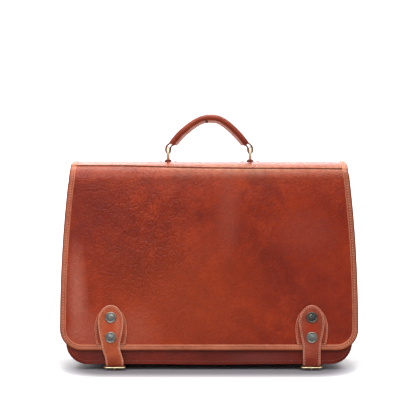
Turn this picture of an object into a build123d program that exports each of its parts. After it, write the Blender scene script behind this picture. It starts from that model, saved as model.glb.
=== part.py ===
from build123d import *
import math
import os

# Leather flap-over briefcase with two buckled straps and a handle on rings, in separate pieces.
# Millimetres. +Z up, the front faces -Y, +X to the right as seen from the front.
# Origin: on the floor, under the middle of the whole outline. The rear bottom seam and the
# buckles carry the bag; the front bottom seam stands FRONT_LIFT above the floor.
# Pieces are modelled about the middle of the bottom, and SHIFT_Y then centres the outline.
# On the front and rear faces, "up" runs up the face from its bottom seam and "out" leaves it.

SHIFT_Y = 4.98
SIDES = {"left": -1, "right": 1}

# ---------------------------------------------------------------- driving dimensions
HALF_DEPTH_BOTTOM = 55.0    # outer face of the front and rear panels at the bottom seam
HALF_DEPTH_TOP = 38.0       # the same at the top of the bag
TOP_Z = 284.0               # height of the flap's crease
FRONT_LIFT = 8.4
LEATHER = 2.4               # body leather
LINING = 0.7

# Front and rear panels
PANEL_HALF_W_BOTTOM = 202.0
PANEL_HALF_W_TOP = 189.0
PANEL_CORNER_R = 30.0
FRONT_PANEL_H = 264.0
BACK_PANEL_H = 274.0
FRONT_INNER_H = FRONT_PANEL_H - 3   # flange and lining heights
BACK_INNER_H = BACK_PANEL_H - 5

# Gusset: a web with a seam flange on each long edge
SEAM_INSET = 6.0            # web, in from the panels' edges
WEB_T = 2.0
WEB_IN = SEAM_INSET + WEB_T
WEB_END_DEPTH = LEATHER + 0.8   # the web ends inside the thickness of its flanges
FLANGE_T = 1.6
FLANGE_EDGE = 0.6           # flange's outer edge, in from the panel's
FLANGE_IN = WEB_IN + 1.6
BASE_SPLIT_X = 150.0        # where the side pieces meet the base

# Inside
BOARD_T = 2.0
BOARD_HALF_DEPTH = 48.0
BOARD_W = 296.0
LINING_GAP = 0.6            # lining, in from the flange
DIVIDER_H = 262.0           # of the outline, before trimming
DIVIDER_T = 2.0
DIVIDER_TOP_Z = 240.0

# Flap front
FLAP_HALF_W_BOTTOM = 209.7
FLAP_HALF_W_TOP = 196.8
FLAP_CORNER_R = 30.0
FLAP_BOTTOM = 20.0          # lower edge, up from the front panel's lower edge
FLAP_TOP = 273.4
FLAP_LINING_OUT = 1.0       # lining's inner face, out from the front panel
FLAP_IN = 1.8               # leather's inner face
FLAP_OUT = FLAP_IN + LEATHER
BIND_T = 0.7                # edge binding's thickness
BIND_W = 8.5                # how far it covers the flap's face

# Straps and patches
PATCH_T = 1.8
STRAP_T = 2.4
STRAP_W = 25.0
STRAP_X = {"left": -138.5, "right": 144.5}
BUCKLE_X = {"left": -133.0, "right": 144.5}
STRAP_IN = FLAP_OUT + PATCH_T + 0.2
STRAP_OUT = STRAP_IN + STRAP_T
PIVOT_UP = 5.0              # where a strap bends when it is unfastened
HINGE_GAP = 1.4             # strap and tail each stop this far from the bend

# Half outlines from the top point down the right-hand edge: (x from centre, up)
PATCH_HALF = [
    (0, 80.8), (6.5, 79.9), (12.6, 76.8), (17.6, 71.5), (21.2, 63.5), (23.2, 52),
    (22.6, 41), (20.8, FLAP_BOTTOM + BIND_W + 0.4),
]
STRAP_HALF = [
    (0, 84.0), (7.2, 82.2), (12.8, 77.2), (16.7, 69.5), (18.0, 61), (17.4, 51),
    (15.3, 39.5), (13.4, 31), (12.5, 25),
]

# Studs
STUD_UP = (66.4, 38.1)
STUD_R = 8.0
POST_R = 2.0
POST_ENTRY = 1.2            # post's reach into the strap
POST_HEAD_R = 5.0
POST_HEAD_T = 0.7
SOCKET_BORE_R = 2.4
BARREL_R = 3.3
STRAP_HOLE_R = 3.4
CAP_SINK = 0.2              # cap's middle below the strap's face
# Right half of a cap's section: (radius, height off the strap)
CAP_PROFILE = [
    (0, -CAP_SINK), (BARREL_R, -CAP_SINK), (BARREL_R, 0), (STUD_R, 0), (STUD_R, 0.65),
    (STUD_R - 0.35, 1.05), (STUD_R - 0.9, 1.2), (STUD_R - 1.5, 1.1), (STUD_R - 2.0, 0.9),
    (4.6, 1.45), (3.0, 1.9), (1.5, 2.15), (0, 2.25),
]

# Strap tail, from the bend to the pointed end
TAIL_T = 2.2
CURL_R = 5.4
CURL_DROP = 0.2             # curl's centre below the tail's start
CURL_START, CURL_END = 180, 262     # degrees
CURL_STEPS = 8
TAIL_RUN = [  # (y, z) of the centre line after the curl
    (-55.4, 6.55), (-52.0, 5.2), (-48.5, 3.7), (-45.2, 2.75), (-42.0, 2.4),
    (-34.0, 2.2), (-27.0, 2.2),
]

# Buckles; bars are placed by (y, z)
HEEL = (-43.5, 6.9)
OUTER_BAR = (-62.0, 4.3)
BAR_R = 1.2
BAR_SPAN = math.hypot(HEEL[0] - OUTER_BAR[0], HEEL[1] - OUTER_BAR[1])
BUCKLE_TILT = math.atan2(HEEL[1] - OUTER_BAR[1], HEEL[0] - OUTER_BAR[0])
FRAME_W = 30.0
FRAME_SIDE_W = 2.0
FRAME_BAR_W = 2.6
FRAME_T = 2.4
FRAME_BEVEL = 1.6           # the two outer corners
FRAME_CHAMFER = 0.5
EYE_R = 2.3
EYE_W = 2.9
EYE_BORE_R = BAR_R + 0.06
TONGUE_T = 1.7
TONGUE_W = 2.4
TONGUE_PATH = [  # (y, z) of the arm's centre line, heel bar to tip
    (HEEL[0] - 1.75, HEEL[1] - 0.5), (-47.6, 4.6), (-50.8, 2.75), (-54.5, 1.95),
    (-59.0, 1.75), (-62.4, 1.85), (-64.6, 2.9),
]

# Chapes: leather from the heel bars to the rivets under the base
CHAPE_W = 24.0
CHAPE_T = 2.2
CHAPE_LOOP_R = 2.75
CHAPE_BORE_R = BAR_R + 0.05
BASE_GAP = 0.02             # between the chape and the base
CHAPE_RIVET_Y = (-27.0, -18.0)
CHAPE_RIVET_R = 1.5
RIVET_HEAD_R = 3.2

# Top of the flap
CROWN_Z = 292.4             # crest
CROWN_EDGE_Z = TOP_Z + 1.6
TOP_HALF_DEPTH = 40.6       # crease and rear fold, from the middle
TOP_HALF_W = FLAP_HALF_W_TOP
TOP_T = 2.4
TOP_UNDER = TOP_T + LINING  # depth of the lining's underside below the crown
HANDLE_BAR_T = 1.2
HANDLE_BAR_HALF_DEPTH = 14.0
HANDLE_BAR_HALF_W = 178.0
BAR_UNDER_Z = CROWN_Z - (TOP_UNDER + HANDLE_BAR_T)

# Rings and their loops
RING_X = 58.7
RING_R = 8.9
WIRE_R = 1.5
RING_Z = 303.2
WIRE_OFFSET = 0.45          # bore centre off the wire's, towards the ring's centre
LOOP_W = 8.0
LOOP_BORE_R = 2.15
LOOP_OUTER_R = LOOP_BORE_R + 1.3
LOOP_BORE_Z = RING_Z - RING_R + WIRE_OFFSET
LEG_BOTTOM_Z = BAR_UNDER_Z - 1.3
FOOT_W = 30.0
FOOT_BOTTOM_Z = BAR_UNDER_Z - 1.6
FOOT_T = 1.3
LOOP_CUT_Z = 286.0          # middle of the cuts through the top
LOOP_RIVET_DX = (-10.5, 10.5)
LOOP_RIVET_R = 1.6
LOOP_RIVET_TOP_Z = CROWN_Z + 0.05
DOME_R = 4.2
DOME_CUT = 3.1              # a rivet's dome is the sphere above this height

# Handle
HANDLE_POINTS = [  # (x, z) of the centre line
    (-54.6, 317.4), (-44.8, 329.4), (-33.0, 340.6), (-18.0, 351.0), (0.0, 355.4),
    (18.0, 351.0), (33.0, 340.6), (44.8, 329.4), (54.6, 317.4),
]
HANDLE_LINE = Spline([Vector(x, 0, z) for x, z in HANDLE_POINTS])
TUBE_R = 4.6
CORE_R = 3.0
FIN_T = 3.0
FIN_FROM, FIN_TO = 3.6, 8.6         # from the centre line, towards the bag
FIN_START, FIN_END = 0.015, 0.985   # fractions of the centre line
FIN_STEPS = 12
TAB_BORE_R = 2.15
TAB_OUTER_R = TAB_BORE_R + 1.9
TAB_DROP = 4.4              # length of the tab's slot between its end centres
TAB_Z = RING_Z + RING_R - WIRE_OFFSET
TAB_END_GAP = 0.45          # tab stops short of the handle's end point

# ---------------------------------------------------------------- face planes
FRONT_LEAN = math.atan2(HALF_DEPTH_BOTTOM - HALF_DEPTH_TOP, TOP_Z - FRONT_LIFT)
BACK_LEAN = math.atan2(HALF_DEPTH_BOTTOM - HALF_DEPTH_TOP, TOP_Z)
FRONT = Plane(origin=(0, -HALF_DEPTH_BOTTOM, FRONT_LIFT), x_dir=(1, 0, 0),
              z_dir=(0, -math.cos(FRONT_LEAN), math.sin(FRONT_LEAN)))
BACK = Plane(origin=(0, HALF_DEPTH_BOTTOM, 0), x_dir=(-1, 0, 0),
             z_dir=(0, math.cos(BACK_LEAN), math.sin(BACK_LEAN)))


# ---------------------------------------------------------------- shape helpers
def slab(plane, face, out0, out1):
    """A face on the plane as a sheet between two distances out of it."""
    return extrude(plane.offset(out0) * face, amount=out1 - out0)


def slab_y(face, width):
    """An (x, z) face as a sheet centred on y = 0."""
    return extrude(Plane.XZ.offset(-width / 2) * face, amount=width)


def polygon(points):
    return make_face(Wire([Line(points[i], points[(i + 1) % len(points)])
                           for i in range(len(points))]))


def prism_x(points, x_mid, width):
    """A closed (y, z) polygon as a bar along X."""
    return extrude(Plane.YZ.offset(x_mid - width / 2) * polygon(points), amount=width)


def rod(x, y, z0, z1, radius):
    """An upright cylinder from z0 to z1."""
    return Pos(x, y, (z0 + z1) / 2) * Cylinder(radius, z1 - z0)


def heel_cylinder(x, radius, length):
    """A cylinder about a buckle's heel bar."""
    return Pos(x, HEEL[0], HEEL[1]) * Rot(0, 90, 0) * Cylinder(radius, length)


def band_yz(path, thickness):
    """Closed (y, z) polygon of a strip about a path of points."""
    left, right = [], []
    for i, (y, z) in enumerate(path):
        before = path[max(i - 1, 0)]
        after = path[min(i + 1, len(path) - 1)]
        step_y, step_z = after[0] - before[0], after[1] - before[1]
        scale = thickness / 2 / math.hypot(step_y, step_z)
        left.append((y - step_z * scale, z + step_y * scale))
        right.append((y + step_z * scale, z - step_y * scale))
    return left + right[::-1]


def mirrored(x_mid, half, foot=()):
    """Whole outline from a half outline, with optional points across its foot."""
    right = [(x_mid + x, up) for x, up in half]
    left = [(x_mid - x, up) for x, up in half[:0:-1]]
    return right + list(foot) + left


def outline(half_bottom, half_top, low, high, radius, inset=0.0, open_top=False):
    """Straight bottom, rounded corners, sides that curve in towards the top.

    An open top runs on above the outline, so that as a cutter it leaves no rim there.
    """
    corner_top = low + radius
    taper = half_bottom - half_top

    def side(up):
        share = (up - corner_top) / (high - corner_top)
        return half_bottom - inset - taper * share * share

    half = half_bottom - inset
    corner = radius - inset
    bottom = low + inset
    top = high + (20.0 if open_top else 0.0)
    middle = (corner_top + top) / 2
    bulge = corner * (1 - math.sqrt(0.5))
    return make_face(Wire([
        Line((-half + corner, bottom), (half - corner, bottom)),
        ThreePointArc((half - corner, bottom), (half - bulge, bottom + bulge),
                      (half, corner_top)),
        ThreePointArc((half, corner_top), (side(middle), middle), (side(top), top)),
        Line((side(top), top), (-side(top), top)),
        ThreePointArc((-side(top), top), (-side(middle), middle), (-half, corner_top)),
        ThreePointArc((-half, corner_top), (-half + bulge, bottom + bulge),
                      (-half + corner, bottom)),
    ]))


def panel_outline(height, inset=0.0, open_top=False):
    return outline(PANEL_HALF_W_BOTTOM, PANEL_HALF_W_TOP, 0, height, PANEL_CORNER_R,
                   inset, open_top)


def flap_outline(inset=0.0, open_top=False):
    return outline(FLAP_HALF_W_BOTTOM, FLAP_HALF_W_TOP, FLAP_BOTTOM, FLAP_TOP, FLAP_CORNER_R,
                   inset, open_top)


def base_under_z(y):
    """Underside of the sloping base web."""
    slope = FRONT_LIFT / (2 * HALF_DEPTH_BOTTOM)
    return FRONT_LIFT + SEAM_INSET - (y + HALF_DEPTH_BOTTOM) * slope


def base_top_z(y):
    return base_under_z(y) + WEB_T


def cut_all(shape, cutters):
    for cutter in cutters:
        shape = shape - cutter
    return shape


# ---------------------------------------------------------------- body
def back_panel():
    """Rear panel, trimmed flat on the floor."""
    panel = slab(BACK, panel_outline(BACK_PANEL_H), -LEATHER, 0)
    return panel & (Pos(0, 0, 200) * Box(600, 400, 400))


def flange(plane, height):
    ring = panel_outline(height, FLANGE_EDGE) - panel_outline(height, FLANGE_IN, open_top=True)
    return slab(plane, ring, -LEATHER - FLANGE_T, -LEATHER)


def gusset():
    """Web and seam flanges all the way round, before they are split into three pieces."""
    web_face = (panel_outline(FRONT_INNER_H, SEAM_INSET)
                - panel_outline(FRONT_INNER_H, WEB_IN, open_top=True))
    upright = Plane(origin=(0, -HALF_DEPTH_BOTTOM, FRONT_LIFT), x_dir=(1, 0, 0),
                    z_dir=(0, -1, 0))
    run = Vector(0, 2 * HALF_DEPTH_BOTTOM, -FRONT_LIFT)
    web = extrude(upright * web_face, amount=run.length, dir=run.normalized())

    def front_y(z):
        return (-HALF_DEPTH_BOTTOM + WEB_END_DEPTH / math.cos(FRONT_LEAN)
                + (z - FRONT_LIFT) * math.tan(FRONT_LEAN))

    def back_y(z):
        return (HALF_DEPTH_BOTTOM - WEB_END_DEPTH / math.cos(BACK_LEAN)
                - z * math.tan(BACK_LEAN))

    low, high = -10, 300
    between = prism_x([(front_y(low), low), (back_y(low), low),
                       (back_y(high), high), (front_y(high), high)], 0, 520)
    web = web & between
    return web + flange(FRONT, FRONT_INNER_H) + flange(BACK, BACK_INNER_H)


def x_box(x0, x1):
    return Pos((x0 + x1) / 2, 0, 150) * Box(x1 - x0, 400, 500)


def chape_rivet_places():
    return [(x, y) for x in BUCKLE_X.values() for y in CHAPE_RIVET_Y]


def base_rivet_holes():
    return [Pos(x, y, base_under_z(y) + 3) * Cylinder(CHAPE_RIVET_R, 20)
            for x, y in chape_rivet_places()]


def base_board():
    """Stiffener lying on the base."""
    front_z, back_z = base_top_z(-BOARD_HALF_DEPTH), base_top_z(BOARD_HALF_DEPTH)
    board = prism_x([(-BOARD_HALF_DEPTH, front_z), (BOARD_HALF_DEPTH, back_z),
                     (BOARD_HALF_DEPTH, back_z + BOARD_T),
                     (-BOARD_HALF_DEPTH, front_z + BOARD_T)], 0, BOARD_W)
    return cut_all(board, base_rivet_holes())


def panel_lining(plane, height):
    """Lining of a panel, cut off straight 20 above the bottom seam."""
    face = panel_outline(height, FLANGE_IN + LINING_GAP) & (Pos(0, 160) * Rectangle(500, 280))
    return slab(plane, face, -LEATHER - LINING, -LEATHER)


def divider():
    """Upright sheet between the two compartments."""
    plane = Plane(origin=(0, 0, FRONT_LIFT * 0.5), x_dir=(1, 0, 0), z_dir=(0, -1, 0))
    face = panel_outline(DIVIDER_H, WEB_IN + 1.2)
    sheet = slab(plane, face, -DIVIDER_T / 2, DIVIDER_T / 2)
    bottom = base_top_z(0) + BOARD_T + 0.6
    return sheet & (Pos(0, 0, (bottom + DIVIDER_TOP_Z) / 2)
                    * Box(500, 10, DIVIDER_TOP_Z - bottom))


# ---------------------------------------------------------------- flap front
def post_holes(side):
    return [slab(FRONT, Pos(STRAP_X[side], up) * Circle(POST_R), 0.2, 12.0) for up in STUD_UP]


def flap_sheet(inset, out0, out1):
    holes = post_holes("left") + post_holes("right")
    return cut_all(slab(FRONT, flap_outline(inset), out0, out1), holes)


def flap_binding():
    """Strip wrapped round the flap's sides and lower edge."""
    binding = slab(FRONT, flap_outline(-BIND_T), FLAP_LINING_OUT - BIND_T, FLAP_OUT + BIND_T)
    binding = binding - slab(FRONT, flap_outline(BIND_W, open_top=True), -5, 15)
    return binding - slab(FRONT, flap_outline(), FLAP_LINING_OUT, FLAP_OUT)


def patch(side):
    """Reinforcement between flap and strap."""
    face = polygon(mirrored(STRAP_X[side], PATCH_HALF))
    return cut_all(slab(FRONT, face, FLAP_OUT, FLAP_OUT + PATCH_T), post_holes(side))


# ---------------------------------------------------------------- straps and studs
def strap(side):
    foot_up = PIVOT_UP + HINGE_GAP
    foot = [(BUCKLE_X[side] + STRAP_W / 2, foot_up), (BUCKLE_X[side] - STRAP_W / 2, foot_up)]
    face = polygon(mirrored(STRAP_X[side], STRAP_HALF, foot))
    holes = [slab(FRONT, Pos(STRAP_X[side], up) * Circle(STRAP_HOLE_R),
                  STRAP_IN - 1, STRAP_OUT + 1) for up in STUD_UP]
    return cut_all(slab(FRONT, face, STRAP_IN, STRAP_OUT), holes)


def stud_caps(side):
    """Caps with their socket barrels, set in the strap."""
    caps = []
    for up in STUD_UP:
        cap = revolve(Plane.XZ * polygon(CAP_PROFILE), Axis.Z, 360)
        depth = STRAP_T - CAP_SINK
        barrel = Pos(0, 0, -CAP_SINK - depth / 2) * (
            Cylinder(BARREL_R, depth) - Cylinder(SOCKET_BORE_R, STRAP_T))
        place = FRONT.offset(STRAP_OUT) * Pos(STRAP_X[side], up)
        caps.append((place * (cap + barrel)).solid())
    return Compound(children=caps)


def stud_posts():
    """Posts fixed through patch, flap and lining."""
    posts = []
    for x in STRAP_X.values():
        for up in STUD_UP:
            post = rod(0, 0, FLAP_LINING_OUT, STRAP_IN + POST_ENTRY, POST_R)
            head = rod(0, 0, FLAP_LINING_OUT - POST_HEAD_T, FLAP_LINING_OUT, POST_HEAD_R)
            posts.append((FRONT * Pos(x, up) * (post + head)).solid())
    return Compound(children=posts)


def tail_path():
    """(y, z) centre line of a strap tail: under the front seam, through the buckle."""
    up = PIVOT_UP - HINGE_GAP
    out = (STRAP_IN + STRAP_OUT) / 2
    start_y = -HALF_DEPTH_BOTTOM + up * math.sin(FRONT_LEAN) - out * math.cos(FRONT_LEAN)
    start_z = FRONT_LIFT + up * math.cos(FRONT_LEAN) + out * math.sin(FRONT_LEAN)
    centre_y = start_y + CURL_R * math.cos(FRONT_LEAN)
    centre_z = start_z - CURL_DROP
    path = [(start_y, start_z)]
    for i in range(1, CURL_STEPS + 1):
        angle = math.radians(CURL_START + (CURL_END - CURL_START) * i / CURL_STEPS)
        path.append((centre_y + CURL_R * math.cos(angle), centre_z + CURL_R * math.sin(angle)))
    return path + TAIL_RUN


def strap_tail(side):
    """Tail with a pointed end and a slot that the tongue works in."""
    mid_x = BUCKLE_X[side]
    edge = STRAP_W / 2 + 1
    tail = prism_x(band_yz(tail_path(), TAIL_T), mid_x, STRAP_W)
    for s in (-1, 1):
        corner = polygon([(mid_x + s * edge, -26), (mid_x + s * edge, -36), (mid_x + s * 5, -26)])
        tail = tail - extrude(Plane.XY.offset(-2) * corner, amount=10)
    return tail - Pos(mid_x, -47.6, 4) * Box(3.8, 12.6, 12)


# ---------------------------------------------------------------- buckles
def buckle_frame(side):
    """U-shaped plate, open at the heel, with a round heel bar across it."""
    # local x along the bars, local y from the outer bar to the heel bar
    plane = Plane(origin=(BUCKLE_X[side], (HEEL[0] + OUTER_BAR[0]) / 2,
                          (HEEL[1] + OUTER_BAR[1]) / 2),
                  x_dir=(1, 0, 0), z_dir=(0, -math.sin(BUCKLE_TILT), math.cos(BUCKLE_TILT)))
    y0 = -BAR_SPAN / 2 - FRAME_BAR_W / 2
    y1 = BAR_SPAN / 2 + 1.8
    outer = FRAME_W / 2
    inner = outer - FRAME_SIDE_W
    plate = polygon([
        (-outer + FRAME_BEVEL, y0), (outer - FRAME_BEVEL, y0), (outer, y0 + FRAME_BEVEL),
        (outer, y1), (inner, y1), (inner, y0 + FRAME_BAR_W), (-inner, y0 + FRAME_BAR_W),
        (-inner, y1), (-outer, y1), (-outer, y0 + FRAME_BEVEL),
    ])
    frame = extrude(plate, amount=FRAME_T / 2, both=True)
    frame = chamfer(frame.edges(), FRAME_CHAMFER)
    heel = Pos(0, BAR_SPAN / 2, 0) * Rot(0, 90, 0) * Cylinder(BAR_R, 2 * inner + 1.2)
    return plane * (frame + heel)


def tongue(side):
    """Eye round the heel bar, arm through the strap's slot, tip on the outer bar."""
    x = BUCKLE_X[side]
    bore = heel_cylinder(x, EYE_BORE_R, 4)
    eye = heel_cylinder(x, EYE_R, EYE_W) - bore
    arm = prism_x(band_yz(TONGUE_PATH, TONGUE_T), x, TONGUE_W)
    return (eye + arm) - bore


def chape(side):
    """Leather loop round the heel bar, its tab riveted under the base."""
    x = BUCKLE_X[side]
    loop = heel_cylinder(x, CHAPE_LOOP_R, CHAPE_W)
    tab_drop = CHAPE_T / 2 + BASE_GAP
    path = [(HEEL[0] + 0.5, HEEL[1] + 1.2), (-38.0, 9.0),
            (-33.0, base_under_z(-33.0) - tab_drop), (-12.0, base_under_z(-12.0) - tab_drop)]
    tab = prism_x(band_yz(path, CHAPE_T), x, CHAPE_W)
    below_base = prism_x([(-60, base_under_z(-60) - BASE_GAP), (0, base_under_z(0) - BASE_GAP),
                          (0, -5), (-60, -5)], x, 80)
    body = (loop + tab) & below_base
    body = body - heel_cylinder(x, CHAPE_BORE_R, 40)
    # slot for the tongue's eye
    body = body - Pos(x, HEEL[0] - 0.6, HEEL[1]) * Box(3.6, 7.4, 9)
    return cut_all(body, [Pos(x, y, base_under_z(y)) * Cylinder(CHAPE_RIVET_R, 8)
                          for y in CHAPE_RIVET_Y])


def chape_rivets():
    """Rivets through chape, base and board, headed at both ends."""
    rivets = []
    for x, y in chape_rivet_places():
        under = base_under_z(y)
        top = base_top_z(y) + BOARD_T
        shank = rod(x, y, under - 2.7, top + 0.6, CHAPE_RIVET_R)
        lower_head = rod(x, y, under - 3.45, under - 2.55, RIVET_HEAD_R)
        upper_head = rod(x, y, top + 0.3, top + 1.1, RIVET_HEAD_R)
        rivets.append((shank + lower_head + upper_head).solid())
    return Compound(children=rivets)


# ---------------------------------------------------------------- top of the flap
def crown(depth, half_depth):
    """Front, crest and rear (y, z) points of the crown arc, at a depth below its surface."""
    sag = CROWN_Z - CROWN_EDGE_Z
    radius = (TOP_HALF_DEPTH ** 2 + sag ** 2) / (2 * sag)
    centre_z = CROWN_Z - radius
    reach = math.asin(half_depth / radius)
    return [((radius - depth) * math.sin(angle), centre_z + (radius - depth) * math.cos(angle))
            for angle in (-reach, 0, reach)]


def crown_band(depth0, depth1, half_depth, half_width):
    """A curved sheet between two depths below the crown's outer surface."""
    upper = crown(depth0, half_depth)
    lower = crown(depth1, half_depth)
    face = make_face(Wire([
        ThreePointArc(*upper), Line(upper[2], lower[2]),
        ThreePointArc(*lower[::-1]), Line(lower[0], upper[0])]))
    return extrude(Plane.YZ.offset(-half_width) * face, amount=2 * half_width)


def top_binding(sign):
    """Strip wrapped round one end of the top."""
    x0, x1 = TOP_HALF_W - BIND_W, TOP_HALF_W + BIND_T
    full = crown_band(-BIND_T, TOP_UNDER + BIND_T, TOP_HALF_DEPTH - 0.6, x1)
    end = Pos(sign * (x0 + x1) / 2, 0, 280) * Box(x1 - x0, 200, 100)
    return (full & end) - crown_band(0, TOP_UNDER, TOP_HALF_DEPTH + 3, TOP_HALF_W)


def loop_rivet_holes(sign):
    return [Pos(sign * RING_X + dx, 0, LOOP_CUT_Z) * Cylinder(LOOP_RIVET_R, 30)
            for dx in LOOP_RIVET_DX]


def cut_for_loops(sheet):
    """Slots for the ring loops' legs and holes for their rivets."""
    for sign in SIDES.values():
        slot = Pos(sign * RING_X, 0, LOOP_CUT_Z) * Box(2 * LOOP_OUTER_R + 0.4, LOOP_W + 0.4, 22)
        sheet = cut_all(sheet, [slot] + loop_rivet_holes(sign))
    return sheet


def ring_loop(sign):
    """Strip over the ring's lower wire, legs through the top, foot riveted under the bar."""
    x = sign * RING_X
    bend = Pos(x, 0, LOOP_BORE_Z) * Rot(90, 0, 0) * Cylinder(LOOP_OUTER_R, LOOP_W)
    legs = (Pos(x, 0, (LOOP_BORE_Z + LEG_BOTTOM_Z) / 2)
            * Box(2 * LOOP_OUTER_R, LOOP_W, LOOP_BORE_Z - LEG_BOTTOM_Z))
    foot = Pos(x, 0, FOOT_BOTTOM_Z + FOOT_T / 2) * Box(FOOT_W, LOOP_W, FOOT_T)
    loop = bend + legs + foot
    loop = loop - Pos(x, 0, LOOP_BORE_Z) * Rot(90, 0, 0) * Cylinder(LOOP_BORE_R, LOOP_W + 4)
    return cut_all(loop, loop_rivet_holes(sign))


def loop_rivets():
    """Rivets through top and loop feet: flat heads below, domes above."""
    rivets = []
    for sign in SIDES.values():
        for dx in LOOP_RIVET_DX:
            x = sign * RING_X + dx
            shank = rod(x, 0, FOOT_BOTTOM_Z, LOOP_RIVET_TOP_Z, LOOP_RIVET_R)
            head = rod(x, 0, FOOT_BOTTOM_Z - 0.8, FOOT_BOTTOM_Z, RIVET_HEAD_R)
            dome = Sphere(DOME_R) & (Pos(0, 0, DOME_CUT + 5) * Box(12, 12, 10))
            dome = Pos(x, 0, LOOP_RIVET_TOP_Z - DOME_CUT) * dome
            rivets.append((shank + head + dome).solid())
    return Compound(children=rivets)


def ring(sign):
    return Pos(sign * RING_X, 0, RING_Z) * Rot(0, 90, 0) * Torus(RING_R, WIRE_R)


# ---------------------------------------------------------------- handle
def handle_rod(radius):
    start = Plane(origin=HANDLE_LINE @ 0, z_dir=HANDLE_LINE % 0)
    return sweep(start * Circle(radius), path=HANDLE_LINE)


def offset_curve(distance):
    """(x, z) points beside the handle's centre line, towards the bag."""
    points = []
    for i in range(FIN_STEPS + 1):
        share = FIN_START + (FIN_END - FIN_START) * i / FIN_STEPS
        point, along = HANDLE_LINE @ share, HANDLE_LINE % share
        points.append((point.X + along.Z * distance, point.Z - along.X * distance))
    return points


def handle_wrap(core):
    """Leather tube round the core with a fin along its underside."""
    tube = handle_rod(TUBE_R)
    upper, lower = offset_curve(FIN_FROM), offset_curve(FIN_TO)
    fin_face = make_face(Wire([
        Spline([Vector(*p) for p in upper]), Line(upper[-1], lower[-1]),
        Spline([Vector(*p) for p in lower[::-1]]), Line(lower[0], upper[0])]))
    return (tube + slab_y(fin_face, FIN_T)) - core


def handle_tab(sign):
    """Leather round the ring's upper wire, running up to the handle's end."""
    x = sign * RING_X
    end_x, end_z = HANDLE_POINTS[0] if sign < 0 else HANDLE_POINTS[-1]
    inward = HANDLE_LINE % 0.0 if sign < 0 else -(HANDLE_LINE % 1.0)
    oval = Pos(x, TAB_Z - TAB_DROP / 2) * Rot(0, 0, 90)
    outer = slab_y(oval * SlotCenterToCenter(TAB_DROP, 2 * TAB_OUTER_R), LOOP_W)

    run_x, run_z = end_x - x, end_z - TAB_Z
    length = math.hypot(run_x, run_z)
    side_x, side_z = -run_z / length * TAB_OUTER_R, run_x / length * TAB_OUTER_R
    share = (length - TAB_END_GAP) / length
    stop_x, stop_z = x + run_x * share, TAB_Z + run_z * share
    neck = slab_y(polygon([
        (x + side_x, TAB_Z + side_z), (x - side_x, TAB_Z - side_z),
        (stop_x - side_x, stop_z - side_z), (stop_x + side_x, stop_z + side_z)]), LOOP_W)
    tab = outer + neck
    tab = tab - slab_y(oval * SlotCenterToCenter(TAB_DROP, 2 * TAB_BORE_R), LOOP_W + 4)
    # trim square to the handle's end
    end_plane = Plane(origin=Vector(end_x, 0, end_z), z_dir=inward)
    return tab - end_plane * (Pos(0, 0, 10) * Box(60, 60, 20))


# ---------------------------------------------------------------- assemble and write
def build_parts():
    whole_gusset = gusset()
    core = handle_rod(CORE_R)
    parts = {
        "front_panel": slab(FRONT, panel_outline(FRONT_PANEL_H), -LEATHER, 0),
        "back_panel": back_panel(),
        "gusset_left": whole_gusset & x_box(-300, -BASE_SPLIT_X),
        "gusset_right": whole_gusset & x_box(BASE_SPLIT_X, 300),
        "base_panel": cut_all(whole_gusset & x_box(-BASE_SPLIT_X, BASE_SPLIT_X),
                              base_rivet_holes()),
        "base_board": base_board(),
        "front_lining": panel_lining(FRONT, FRONT_INNER_H),
        "back_lining": panel_lining(BACK, BACK_INNER_H),
        "divider": divider(),
        "flap_front": flap_sheet(0.0, FLAP_IN, FLAP_OUT),
        "flap_lining": flap_sheet(1.0, FLAP_LINING_OUT, FLAP_IN),
        "flap_binding": flap_binding(),
        "stud_posts": stud_posts(),
        "chape_rivets": chape_rivets(),
        "flap_top": cut_for_loops(crown_band(0, TOP_T, TOP_HALF_DEPTH, TOP_HALF_W)),
        "flap_top_lining": cut_for_loops(
            crown_band(TOP_T, TOP_UNDER, TOP_HALF_DEPTH - 2.0, TOP_HALF_W - 1.0)),
        "handle_bar": cut_for_loops(
            crown_band(TOP_UNDER, TOP_UNDER + HANDLE_BAR_T, HANDLE_BAR_HALF_DEPTH,
                       HANDLE_BAR_HALF_W)),
        "loop_rivets": loop_rivets(),
        "handle_wrap": handle_wrap(core),
        "handle_core": core,
    }
    for side, sign in SIDES.items():
        for build in (patch, strap, stud_caps, strap_tail, buckle_frame, tongue, chape):
            parts[f"{build.__name__}_{side}"] = build(side)
        for build in (top_binding, ring_loop, ring, handle_tab):
            parts[f"{build.__name__}_{side}"] = build(sign)
    return parts


os.makedirs("parts", exist_ok=True)
for name, shape in build_parts().items():
    solids = (Pos(0, SHIFT_Y, 0) * shape).solids()
    piece = solids[0] if len(solids) == 1 else Compound(children=list(solids))
    export_step(piece, f"parts/{name}.step")
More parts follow.
